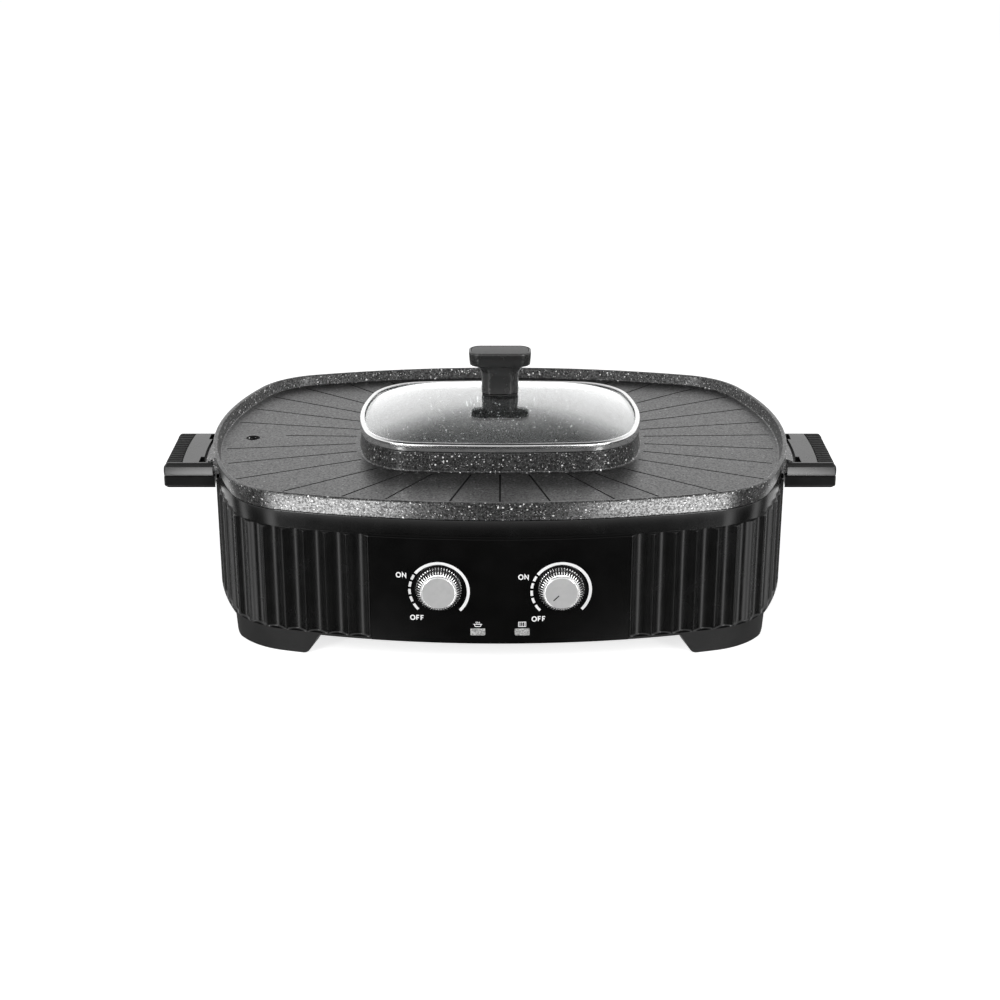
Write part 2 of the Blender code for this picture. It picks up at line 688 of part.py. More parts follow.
def make_bracket(parent, material):
    """The bent steel plate that carries both thermostats and the lamp board."""
    low = BOTTOM_COVER_TOP + CLEARANCE
    high = KNOB_Z + THERMOSTAT_HALF_WIDTH + BRACKET_TOP_MARGIN
    back = BRACKET_Y + SHEET
    profile = (
        (BRACKET_Y, low),
        (BRACKET_Y + BRACKET_FLANGE, low),
        (BRACKET_Y + BRACKET_FLANGE, low + SHEET),
        (back, low + SHEET),
        (back, high),
        (BRACKET_Y, high),
    )
    ends = [[(x, y, z) for y, z in profile] for x in (-BRACKET_HALF_WIDTH, BRACKET_HALF_WIDTH)]
    bracket = piece("control_bracket", lofted(*ends), material, parent, smooth=False)
    holes = bmesh.new()
    for side in KNOB_SIDES.values():
        radius = THERMOSTAT_BUSHING_RADIUS + CLEARANCE
        bar(holes, side * KNOB_SPACING / 2, KNOB_Z, BRACKET_Y - OVERRUN, back + OVERRUN, radius)
    tool(bracket, "bracket_holes", holes, "DIFFERENCE")


def square_ring(x, y, z, half, steps=SMALL_CIRCLE_STEPS):
    points = []
    for step in range(steps):
        angle = math.tau * step / steps
        across, up = math.cos(angle), math.sin(angle)
        scale = half / max(abs(across), abs(up))
        points.append(Vector((x + across * scale, y, z + up * scale)))
    return points


def make_thermostats(parent, material):
    """Each is a block behind the bracket, with a bushing through it and a bore for its knob's shaft."""
    steps = THERMOSTAT_STEPS
    for name, side in KNOB_SIDES.items():
        x = side * KNOB_SPACING / 2
        front = BRACKET_Y + SHEET + CLEARANCE
        nose = BRACKET_Y - THERMOSTAT_BUSHING_LENGTH
        bore = SHAFT_RADIUS + CLEARANCE
        bore_end = front + THERMOSTAT_DEPTH / 2
        mesh = lofted(
            square_ring(x, front + THERMOSTAT_DEPTH, KNOB_Z, THERMOSTAT_HALF_WIDTH, steps),
            square_ring(x, front, KNOB_Z, THERMOSTAT_HALF_WIDTH, steps),
            circle((x, front, KNOB_Z), THERMOSTAT_BUSHING_RADIUS, steps, "Y"),
            circle((x, nose, KNOB_Z), THERMOSTAT_BUSHING_RADIUS, steps, "Y"),
            circle((x, nose, KNOB_Z), bore, steps, "Y"),
            circle((x, bore_end, KNOB_Z), bore, steps, "Y"),
        )
        piece(f"thermostat_{name}", mesh, material, parent)


def make_bottom_cover(parent, material):
    mesh = lofted(
        RIM.ring(INNER_INSET + CLEARANCE, FOOT_HEIGHT),
        RIM.ring(INNER_INSET + CLEARANCE, BOTTOM_COVER_TOP),
    )
    cover = piece("bottom_cover", mesh, material, parent, smooth=False)
    holes = bmesh.new()
    for spot in post_places().values():
        post(holes, spot.x, spot.y, 0, BOTTOM_COVER_TOP + OVERRUN, BASE_SCREW_RADIUS + CLEARANCE)
    for side in (-1, 1):
        for index in range(VENT_COUNT):
            x = side * VENT_OFFSET + (index - (VENT_COUNT - 1) / 2) * VENT_PITCH
            low = (x - VENT_WIDTH / 2, -VENT_LENGTH / 2, 0)
            box(holes, low, (x + VENT_WIDTH / 2, VENT_LENGTH / 2, BOTTOM_COVER_TOP + OVERRUN))
    tool(cover, "bottom_cover_holes", holes, "DIFFERENCE")


def make_base_screws(parent, material):
    for name, spot in post_places().items():
        under = FOOT_HEIGHT - CLEARANCE
        mesh = lofted(
            circle((spot.x, spot.y, under - BASE_SCREW_HEAD_HEIGHT), BASE_SCREW_HEAD_RADIUS, SMALL_CIRCLE_STEPS),
            circle((spot.x, spot.y, under), BASE_SCREW_HEAD_RADIUS, SMALL_CIRCLE_STEPS),
            circle((spot.x, spot.y, under), BASE_SCREW_RADIUS, SMALL_CIRCLE_STEPS),
            circle((spot.x, spot.y, under + BASE_SCREW_LENGTH), BASE_SCREW_RADIUS, SMALL_CIRCLE_STEPS),
        )
        piece(f"base_screw_{name}", mesh, material, parent)


def make_foot_pads(parent, material):
    for name, spot in pad_places().items():
        mesh = bmesh.new()
        post(mesh, spot.x, spot.y, 0, PAD_HEIGHT, PAD_RADIUS, CIRCLE_STEPS)
        piece(f"foot_pad_{name}", mesh, material, parent)


def heater_path(outline, inset, z, leg_end):
    """A loop round the outline whose two ends turn down side by side at the front."""
    start = HEATER_LEG_SPACING / 2 + HEATER_BEND
    path = []
    bend_steps = 3
    for side in (1, -1):
        y = outline.front_y(start, inset)
        leg = [Vector((side * HEATER_LEG_SPACING / 2, y, leg_end))]
        for step in range(bend_steps + 1):
            turn = math.pi / 2 * step / bend_steps
            x = start - HEATER_BEND * math.cos(turn)
            leg.append(Vector((side * x, y, z - HEATER_BEND * (1 - math.sin(turn)))))
        path.append(leg)
    loop = [point for point in outline.ring(inset, z) if point.y > 0 or abs(point.x) > start + HEATER_BEND]
    return path[0] + loop + path[1][::-1]


def make_heater(name, path, parent, material):
    data = bpy.data.curves.new(name, "CURVE")
    data.dimensions = "3D"
    data.bevel_depth = HEATER_RADIUS
    data.bevel_resolution = 1
    data.use_fill_caps = True
    spline = data.splines.new("POLY")
    spline.points.add(len(path) - 1)
    for point, place in zip(spline.points, path):
        point.co = (*place, 1)
    data.materials.append(material)
    made = bpy.data.objects.new(name, data)
    made.parent = parent
    bpy.context.collection.objects.link(made)


def make_saddle(name, x, y, along, low, tube_z, parent, material):
    """A clip under the tube at (x, y), which runs along the axis named."""
    gap = HEATER_RADIUS + CLEARANCE
    outer = gap + SADDLE_WALL
    seat = tube_z - gap
    profile = ((-outer, low), (outer, low), (outer, tube_z), (gap, tube_z), (gap, seat), (-gap, seat), (-gap, tube_z), (-outer, tube_z))
    rings = []
    for shift in (-SADDLE_WIDTH / 2, SADDLE_WIDTH / 2):
        if along == "Y":
            rings.append([(x + across, y + shift, z) for across, z in profile])
        else:
            rings.append([(x + shift, y + across, z) for across, z in profile])
    piece(name, lofted(*rings), material, parent, smooth=False)


def make_heating(parent, shield_steel, tube_steel, clip_steel):
    """The steel tray that screens the housing, with both tubular heaters on their clips."""
    wall = -WELL_GAP
    bend = 0.3 * WELL_CORNER
    edge_top = SHELF_Z + SHIELD_EDGE_HEIGHT
    shield = piece(
        "heat_shield",
        lofted(
            LID.ring(wall + WELL_CORNER, WELL_FLOOR_Z),
            LID.ring(wall + bend, WELL_FLOOR_Z + bend),
            LID.ring(wall, WELL_FLOOR_Z + WELL_CORNER),
            LID.ring(wall, SHELF_Z),
            RIM.ring(SHIELD_INSET + SHEET, SHELF_Z),
            RIM.ring(SHIELD_INSET + SHEET, edge_top),
            RIM.ring(SHIELD_INSET, edge_top),
            RIM.ring(SHIELD_INSET, SHELF_Z - SHEET),
            LID.ring(wall - SHEET, SHELF_Z - SHEET),
            LID.ring(wall - SHEET, WELL_FLOOR_Z + WELL_CORNER),
            LID.ring(wall + bend - SHEET, WELL_FLOOR_Z + bend - SHEET),
            LID.ring(wall + WELL_CORNER, WELL_FLOOR_Z - SHEET),
        ),
        shield_steel,
        parent,
    )
    pot_end = WELL_FLOOR_Z - SHEET - HEATER_LEG_DROP
    grill_end = SHELF_Z - SHEET - HEATER_LEG_DROP
    pot_path = heater_path(LID, POT_HEATER_INSET, POT_HEATER_Z, pot_end)
    grill_path = heater_path(RIM, GRILL_HEATER_INSET, GRILL_HEATER_Z, grill_end)
    holes = bmesh.new()
    for path, top in ((pot_path, WELL_FLOOR_Z), (grill_path, SHELF_Z)):
        for leg in (path[0], path[-1]):
            post(holes, leg.x, leg.y, leg.z, top + OVERRUN, HEATER_RADIUS + SHEET)
    tool(shield, "heat_shield_holes", holes, "DIFFERENCE")
    make_heater("pot_heater", pot_path, parent, tube_steel)
    make_heater("grill_heater", grill_path, parent, tube_steel)

    low = WELL_FLOOR_Z + CLEARANCE
    for name, side in KNOB_SIDES.items():
        x = side * LID.end_x(0, POT_HEATER_INSET)
        make_saddle(f"pot_heater_clip_{name}", x, 0, "Y", low, POT_HEATER_Z, parent, clip_steel)
    low = SHELF_Z + CLEARANCE
    x = RIM.end_x(0, GRILL_HEATER_INSET)
    y = RIM.half_depth - GRILL_HEATER_INSET
    make_saddle("grill_heater_clip_left", -x, 0, "Y", low, GRILL_HEATER_Z, parent, clip_steel)
    make_saddle("grill_heater_clip_right", x, 0, "Y", low, GRILL_HEATER_Z, parent, clip_steel)
    make_saddle("grill_heater_clip_back", 0, y, "X", low, GRILL_HEATER_Z, parent, clip_steel)


def rectangle(x, y, half_length, half_depth, z):
    return [(x + sx * half_length, y + sy * half_depth, z) for sx, sy in ((-1, -1), (1, -1), (1, 1), (-1, 1))]


def make_grease_cup(parent, material):
    """An open cup on the shelf, under the grill's drain."""
    x = DRAIN_INSET - RIM.half_length
    low = SHELF_Z + CLEARANCE
    inner_length = CUP_WIDTH / 2 - SHEET
    inner_depth = CUP_LENGTH / 2 - SHEET
    mesh = lofted(
        rectangle(x, 0, CUP_WIDTH / 2, CUP_LENGTH / 2, low),
        rectangle(x, 0, CUP_WIDTH / 2, CUP_LENGTH / 2, low + CUP_HEIGHT),
        rectangle(x, 0, inner_length, inner_depth, low + CUP_HEIGHT),
        rectangle(x, 0, inner_length, inner_depth, low + SHEET),
    )
    piece("grease_cup", mesh, material, parent, smooth=False)


def make_inlet(parent, material):
    """A socket through the back wall, open to the back, with three flat pins in it."""

    def ring(half_width, half_height, y):
        return [(sx * half_width, y, INLET_Z + sz * half_height) for sx, sz in ((-1, -1), (1, -1), (1, 1), (-1, 1))]

    socket_width = INLET_HALF_WIDTH - INLET_WALL
    socket_height = INLET_HALF_HEIGHT - INLET_WALL
    floor = INLET_FACE_Y - INLET_SOCKET_DEPTH
    mesh = lofted(
        ring(INLET_HALF_WIDTH, INLET_HALF_HEIGHT, INLET_Y - INLET_DEPTH),
        ring(INLET_HALF_WIDTH, INLET_HALF_HEIGHT, INLET_Y),
        ring(INLET_HALF_WIDTH + INLET_FLANGE_MARGIN, INLET_HALF_HEIGHT + INLET_FLANGE_MARGIN, INLET_Y),
        ring(INLET_HALF_WIDTH + INLET_FLANGE_MARGIN, INLET_HALF_HEIGHT + INLET_FLANGE_MARGIN, INLET_FACE_Y),
        ring(socket_width, socket_height, INLET_FACE_Y),
        ring(socket_width, socket_height, floor),
    )
    inlet = piece("power_inlet", mesh, material, parent, smooth=False)
    pins = bmesh.new()
    for index in (-1, 0, 1):
        x = index * PIN_PITCH
        low = (x - PIN_HALF_WIDTH, floor - INLET_WALL / 2, INLET_Z - socket_height + PIN_HALF_HEIGHT)
        high = (x + PIN_HALF_WIDTH, INLET_FACE_Y - PIN_SETBACK, INLET_Z - socket_height + 3 * PIN_HALF_HEIGHT)
        box(pins, low, high)
    tool(inlet, "inlet_pins", pins, "UNION")


def make_terminal_block(parent, material):
    """A block of screw terminals on the bottom cover, slotted between its ways."""
    low = BOTTOM_COVER_TOP + CLEARANCE
    high = low + TERMINAL_HEIGHT
    half = TERMINAL_WAYS * TERMINAL_PITCH / 2
    profile = [(-half, low), (half, low)]
    for index in range(TERMINAL_WAYS, 0, -1):
        right = -half + index * TERMINAL_PITCH
        left = right - TERMINAL_PITCH + (TERMINAL_SLOT if index > 1 else 0)
        profile += [(right, high), (left, high)]
        if index > 1:
            profile += [(left, high - TERMINAL_SLOT_DEPTH), (left - TERMINAL_SLOT, high - TERMINAL_SLOT_DEPTH)]
    y = RIM.half_depth - INNER_INSET - TERMINAL_SETBACK
    ends = [[(x, y + shift, z) for x, z in profile] for shift in (-TERMINAL_HALF_DEPTH, TERMINAL_HALF_DEPTH)]
    piece("terminal_block", lofted(*ends), material, parent, smooth=False)


def make_knob(name, side, parent, skirt_metal, cap_metal, shaft_metal):
    """A knurled skirt that narrows to a flat cap, on a shaft with one flat side."""
    x = side * KNOB_SPACING / 2
    front = KNOB_BACK_Y - KNOB_SKIRT_HEIGHT

    def knurl(y, radius, depth):
        points = circle((x, y, KNOB_Z), radius, 2 * KNOB_TEETH, "Y")
        centre = Vector((x, y, KNOB_Z))
        shrink = 1 - depth / radius
        return [point if index % 2 else centre + (point - centre) * shrink for index, point in enumerate(points)]

    mesh = lofted(
        knurl(KNOB_BACK_Y, KNOB_RADIUS, KNOB_TOOTH_DEPTH),
        knurl(KNOB_BACK_Y - KNOB_GRIP_HEIGHT, KNOB_RADIUS, KNOB_TOOTH_DEPTH),
        knurl(front, KNOB_CAP_RADIUS + KNOB_SKIRT_LIP, KNOB_TOOTH_DEPTH / 2),
    )
    skirt = piece(f"knob_{name}_skirt", mesh, skirt_metal, parent)
    bore = bmesh.new()
    bore_end = KNOB_BACK_Y - KNOB_BORE_DEPTH
    bar(bore, x, KNOB_Z, bore_end - CLEARANCE, KNOB_BACK_Y + OVERRUN, SHAFT_RADIUS + CLEARANCE)
    tool(skirt, f"knob_{name}_bore", bore, "DIFFERENCE")

    steps = KNOB_CAP_STEPS
    mesh = lofted(
        circle((x, KNOB_CAP_Y, KNOB_Z), KNOB_CAP_RADIUS, steps, "Y"),
        circle((x, KNOB_FACE_Y + KNOB_CAP_BEVEL, KNOB_Z), KNOB_CAP_RADIUS, steps, "Y"),
        circle((x, KNOB_FACE_Y, KNOB_Z), KNOB_CAP_RADIUS - KNOB_CAP_BEVEL, steps, "Y"),
    )
    piece(f"knob_{name}_cap", mesh, cap_metal, parent)

    inner_end = BRACKET_Y + SHEET + CLEARANCE + THERMOSTAT_DEPTH / 2 - CLEARANCE
    rings = []
    for y in (bore_end, inner_end):
        points = circle((x, y, KNOB_Z), SHAFT_RADIUS, SMALL_CIRCLE_STEPS, "Y")
        flat = KNOB_Z + SHAFT_RADIUS * SHAFT_FLAT_SHARE
        rings.append([Vector((point.x, point.y, min(point.z, flat))) for point in points])
    piece(f"knob_{name}_shaft", lofted(*rings), shaft_metal, parent)


def make_pan(parent, material):
    """One casting: the grill with its rim and score lines, the pot with its collar, and two lugs."""
    pot_top = COLLAR_INSET + COLLAR_WALL
    pot_low = pot_top + POT_DRAFT
    outer_low = pot_low - POT_WALL
    outer_top = pot_top + POT_DRAFT * COLLAR_HEIGHT / POT_DEPTH - POT_WALL
    bend = 0.3 * POT_CORNER
    skirt_end = PAN_SKIRT_INSET + PAN_SKIRT_WALL
    skirt_low = RIM_FOOT_Z - PAN_SKIRT_DROP
    pan = piece(
        "pan",
        lofted(
            LID.ring(pot_low + POT_CORNER, POT_FLOOR_Z),
            LID.ring(pot_low + bend, POT_FLOOR_Z + bend),
            LID.ring(pot_low, POT_FLOOR_Z + POT_CORNER),
            LID.ring(pot_top, COLLAR_TOP_Z),
            LID.ring(COLLAR_INSET + COLLAR_CHAMFER, COLLAR_TOP_Z),
            LID.ring(COLLAR_INSET, COLLAR_TOP_Z - COLLAR_CHAMFER),
            LID.ring(COLLAR_INSET - COLLAR_FLARE, GRILL_Z + COLLAR_FILLET),
            LID.ring(COLLAR_INSET - COLLAR_FLARE - COLLAR_FILLET, GRILL_Z),
            RIM.ring(RIM_WALL + PLATE_FILLET, GRILL_Z),
            RIM.ring(RIM_WALL, GRILL_Z + PLATE_FILLET),
            RIM.ring(RIM_LIP_WIDTH + RIM_CHAMFER, RIM_TOP_Z - RIM_CHAMFER),
            RIM.ring(RIM_LIP_WIDTH, RIM_TOP_Z),
            RIM.ring(RIM_CHAMFER, RIM_TOP_Z),
            RIM.ring(0, RIM_TOP_Z - RIM_CHAMFER),
            RIM.ring(RIM_FOOT_INSET, RIM_FOOT_Z),
            RIM.ring(PAN_SKIRT_INSET, RIM_FOOT_Z),
            RIM.ring(PAN_SKIRT_INSET, skirt_low),
            RIM.ring(skirt_end, skirt_low),
            RIM.ring(skirt_end, PLATE_UNDER_Z),
            LID.ring(outer_top, PLATE_UNDER_Z),
            LID.ring(outer_low, POT_FLOOR_Z + POT_CORNER),
            LID.ring(outer_low + bend, POT_UNDER_Z + bend),
            LID.ring(pot_low + POT_CORNER, POT_UNDER_Z),
        ),
        material,
        parent,
    )

    lugs = bmesh.new()
    tongues = bmesh.new()
    spouts = bmesh.new()
    drain_x = DRAIN_INSET - RIM.half_length
    spout_radius = DRAIN_RADIUS + SPOUT_WALL
    post(spouts, drain_x, 0, PLATE_UNDER_Z - SPOUT_DROP, GRILL_Z - PLATE_THICKNESS / 2, spout_radius)
    inner = BAND_INSET - LUG_BAND_GAP
    profile = (
        (inner, RIM_FOOT_Z + LUG_ROOT_RISE),
        (0, RIM_FOOT_Z + CLEARANCE),
        (-LUG_REACH, HANDLE_TOP_Z),
        (-LUG_REACH, TONGUE_Z),
        (inner, TONGUE_Z),
    )
    for side in (-1, 1):
        steps = 4
        rings = []
        for step in range(steps + 1):
            y = LUG_HALF_WIDTH * (2 * step / steps - 1)
            rings.append([(side * RIM.end_x(y, inset), y, z) for inset, z in profile])
        loft(lugs, rings)
        low_x = RIM.half_length + LUG_REACH / 2
        high_x = handle_outer_x() - GRIP_WIDTH - SHEET - CLEARANCE
        low = (min(side * low_x, side * high_x), -TONGUE_HALF_WIDTH, TONGUE_Z)
        high = (max(side * low_x, side * high_x), TONGUE_HALF_WIDTH, TONGUE_Z + TONGUE_THICKNESS)
        box(tongues, low, high)
    tool(pan, "pan_lugs", lugs, "UNION")
    tool(pan, "pan_tongues", tongues, "UNION")
    tool(pan, "pan_spout", spouts, "UNION")

    cuts = bmesh.new()
    post(cuts, drain_x, 0, PLATE_UNDER_Z - SPOUT_DROP - OVERRUN, GRILL_Z + OVERRUN, DRAIN_RADIUS)
    for spot in handle_screw_places().values():
        radius = HANDLE_SCREW_RADIUS + CLEARANCE
        post(cuts, spot.x, spot.y, TONGUE_Z - OVERRUN, TONGUE_Z + TONGUE_THICKNESS + OVERRUN, radius)
    tool(pan, "pan_holes", cuts, "DIFFERENCE")
    tool(pan, "pan_score_lines", score_lines(), "DIFFERENCE")


def reach_along(outline, inset, direction):
    """How far the outline lies from its middle in a direction, moved in by inset."""
    best = None
    points = outline.ring(inset, 0)
    for start, stop in zip(points, points[1:] + points[:1]):
        run = stop - start
        turn = direction.x * run.y - direction.y * run.x
        if abs(turn) < 1e-12:
            continue
        share = (start.x * direction.y - start.y * direction.x) / turn
        reach = (start.x * run.y - start.y * run.x) / turn
        if 0 <= share <= 1 and reach > 0:
            best = reach
    return best


def score_lines():
    """Thin grooves that run out from the middle, one each way along Y and the rest in mirrored pairs."""
    mesh = bmesh.new()
    angles = [0, 180] + [side * angle for angle in SCORE_ANGLES for side in (1, -1)]
    for angle in angles:
        turn = math.radians(angle)
        direction = Vector((math.sin(turn), -math.cos(turn), 0))
        across = Vector((direction.y, -direction.x, 0)) * SCORE_WIDTH / 2
        near = reach_along(LID, -COLLAR_FLARE - 2 * COLLAR_FILLET, direction)
        far = reach_along(RIM, RIM_WALL + PLATE_FILLET + SCORE_RIM_GAP, direction)
        drain = Vector((DRAIN_INSET - RIM.half_length, 0, 0))
        if drain.dot(direction) > 0 and abs(drain.cross(direction).z) < SCORE_DRAIN_GAP / 2:
            far = drain.length - SCORE_DRAIN_GAP
        rings = []
        for reach in (near, far):
            middle = direction * reach
            low = Vector((0, 0, GRILL_Z - SCORE_DEPTH))
            high = Vector((0, 0, GRILL_Z + OVERRUN))
            rings.append([middle - across + low, middle + across + low, middle + across + high, middle - across + high])
        loft(mesh, rings)
    return mesh


def handle_outer_x():
    return RIM.half_length + HANDLE_REACH


def handle_screw_places():
    places = {}
    for name, side in KNOB_SIDES.items():
        for end, way in (("front", -1), ("back", 1)):
            x = side * (RIM.half_length + HANDLE_SCREW_REACH)
            places[f"{name}_{end}"] = Vector((x, way * HANDLE_SCREW_SPACING / 2, 0))
    return places


def cover_edge(steps=6):
    """The cover's edge beside the pan, from its back end: two ends that wrap the lug, a notch by each, and a slot."""
    inner = HANDLE_HALF_WIDTH - HANDLE_WRAP
    wrap_x = RIM.end_x(inner, 0) + CREST_INSET
    slot = -LUG_REACH - HANDLE_SLOT
    notch_y = inner - HANDLE_NOTCH_LENGTH
    notch_x = RIM.end_x(notch_y, slot) + HANDLE_NOTCH_WIDTH
    back = [(wrap_x, HANDLE_HALF_WIDTH), (wrap_x, inner), (notch_x, inner), (notch_x, notch_y)]
    curve = []
    for step in range(steps + 1):
        y = notch_y * (1 - 2 * step / steps)
        curve.append((RIM.end_x(y, slot), y))
    return back + curve + [(x, -y) for x, y in reversed(back)]


def base_edge(steps=8):
    """The base's edge beside the housing, from its back end, which reaches in under the lug."""
    curve = []
    for step in range(steps + 1):
        y = HANDLE_HALF_WIDTH * (1 - 2 * step / steps)
        curve.append((RIM.end_x(y, CREST_INSET - HANDLE_BASE_GAP), y))
    return curve


def handle_plan(side, z, inner_edge, draw_in=0.0):
    """The handle's outline seen from above: square outside, and closed by inner_edge."""
    outer = handle_outer_x() - draw_in
    half = HANDLE_HALF_WIDTH - draw_in
    corner = HANDLE_CORNER
    points = []
    for way in (-1, 1):
        arc = []
        for step in range(4):
            turn = math.pi / 2 * step / 3
            x = outer - corner + corner * math.sin(turn)
            arc.append((x, way * (half - corner + corner * math.cos(turn))))
        points += arc if way < 0 else arc[::-1]
    points += [(x, max(-half, min(half, y))) for x, y in inner_edge]
    return [Vector((side * x, y, z)) for x, y in points]


def make_handle(name, side, parent, gloss, rubber, steel):
    """A cover and a base clamp the pan's tongue, two screws from below hold them, and a ribbed grip lies on top."""
    outer = handle_outer_x()
    cover = piece(
        f"handle_{name}_cover",
        lofted(
            handle_plan(side, COVER_UNDER_Z, cover_edge()),
            handle_plan(side, HANDLE_TOP_Z - HANDLE_CHAMFER, cover_edge()),
            handle_plan(side, HANDLE_TOP_Z, cover_edge(), HANDLE_CHAMFER * 0.9),
        ),
        gloss,
        parent,
    )
    pocket_x = outer - GRIP_WIDTH - SHEET
    near_x = RIM.half_length - OVERRUN
    pocket = bmesh.new()
    half = TONGUE_HALF_WIDTH + CLEARANCE
    ends = sorted((side * near_x, side * pocket_x))
    box(pocket, (ends[0], -half, COVER_UNDER_Z - OVERRUN), (ends[1], half, HANDLE_TOP_Z - COVER_ROOF))
    tool(cover, f"handle_{name}_pocket", pocket, "DIFFERENCE")
    seat = bmesh.new()
    seat_half = HANDLE_HALF_WIDTH - GRIP_END_WALL
    ends = sorted((side * (outer - GRIP_WIDTH - CLEARANCE), side * (outer + OVERRUN)))
    seat_z = HANDLE_TOP_Z - GRIP_SEAT_DEPTH
    box(seat, (ends[0], -seat_half, seat_z), (ends[1], seat_half, HANDLE_TOP_Z + OVERRUN))
    tool(cover, f"handle_{name}_seat", seat, "DIFFERENCE")

    base_top = HANDLE_UNDER_Z + BASE_HEIGHT
    base = piece(
        f"handle_{name}_base",
        lofted(
            handle_plan(side, HANDLE_UNDER_Z, base_edge(), BASE_CHAMFER),
            handle_plan(side, HANDLE_UNDER_Z + BASE_CHAMFER, base_edge()),
            handle_plan(side, base_top, base_edge()),
        ),
        gloss,
        parent,
    )
    head_z = HANDLE_UNDER_Z + HANDLE_SCREW_HEAD_DEPTH
    screw_top = HANDLE_TOP_Z - COVER_ROOF / 2
    cover_holes = bmesh.new()
    base_holes = bmesh.new()
    head_holes = bmesh.new()
    for end, spot in handle_screw_places().items():
        if not end.startswith(name):
            continue
        radius = HANDLE_SCREW_RADIUS + CLEARANCE
        post(cover_holes, spot.x, spot.y, COVER_UNDER_Z, screw_top + CLEARANCE, radius)
        post(base_holes, spot.x, spot.y, HANDLE_UNDER_Z, base_top + OVERRUN, radius)
        head = head_z + HANDLE_SCREW_HEAD_HEIGHT
        post(head_holes, spot.x, spot.y, HANDLE_UNDER_Z - OVERRUN, head + CLEARANCE, HANDLE_SCREW_HEAD_RADIUS + CLEARANCE)
        mesh = lofted(
            circle((spot.x, spot.y, head_z), HANDLE_SCREW_HEAD_RADIUS, SMALL_CIRCLE_STEPS),
            circle((spot.x, spot.y, head), HANDLE_SCREW_HEAD_RADIUS, SMALL_CIRCLE_STEPS),
            circle((spot.x, spot.y, head), HANDLE_SCREW_RADIUS, SMALL_CIRCLE_STEPS),
            circle((spot.x, spot.y, screw_top), HANDLE_SCREW_RADIUS, SMALL_CIRCLE_STEPS),
        )
        piece(f"handle_screw_{end}", mesh, steel, parent)
    tool(cover, f"handle_{name}_cover_holes", cover_holes, "DIFFERENCE")
    tool(base, f"handle_{name}_base_holes", base_holes, "DIFFERENCE")
    tool(base, f"handle_{name}_head_holes", head_holes, "DIFFERENCE")

    grip_top = HANDLE_TOP_Z - CLEARANCE
    floor = grip_top - GRIP_RIB_HEIGHT
    grip_half = seat_half - CLEARANCE
    pitch = 2 * grip_half / (GRIP_RIBS - 1 + GRIP_RIB_SHARE)
    profile = [(-grip_half, seat_z + CLEARANCE), (grip_half, seat_z + CLEARANCE)]
    for index in range(GRIP_RIBS - 1, -1, -1):
        low = -grip_half + index * pitch
        high = low + pitch * GRIP_RIB_SHARE
        profile += [(high, grip_top), (low, grip_top)]
        if index:
            profile += [(low, floor), (low - pitch * (1 - GRIP_RIB_SHARE), floor)]
    grip_outer = outer - HANDLE_CHAMFER / 2
    rings = [[(side * x, y, z) for y, z in profile] for x in (outer - GRIP_WIDTH, grip_outer)]
    piece(f"handle_{name}_grip", lofted(*rings), rubber, parent, smooth=False)


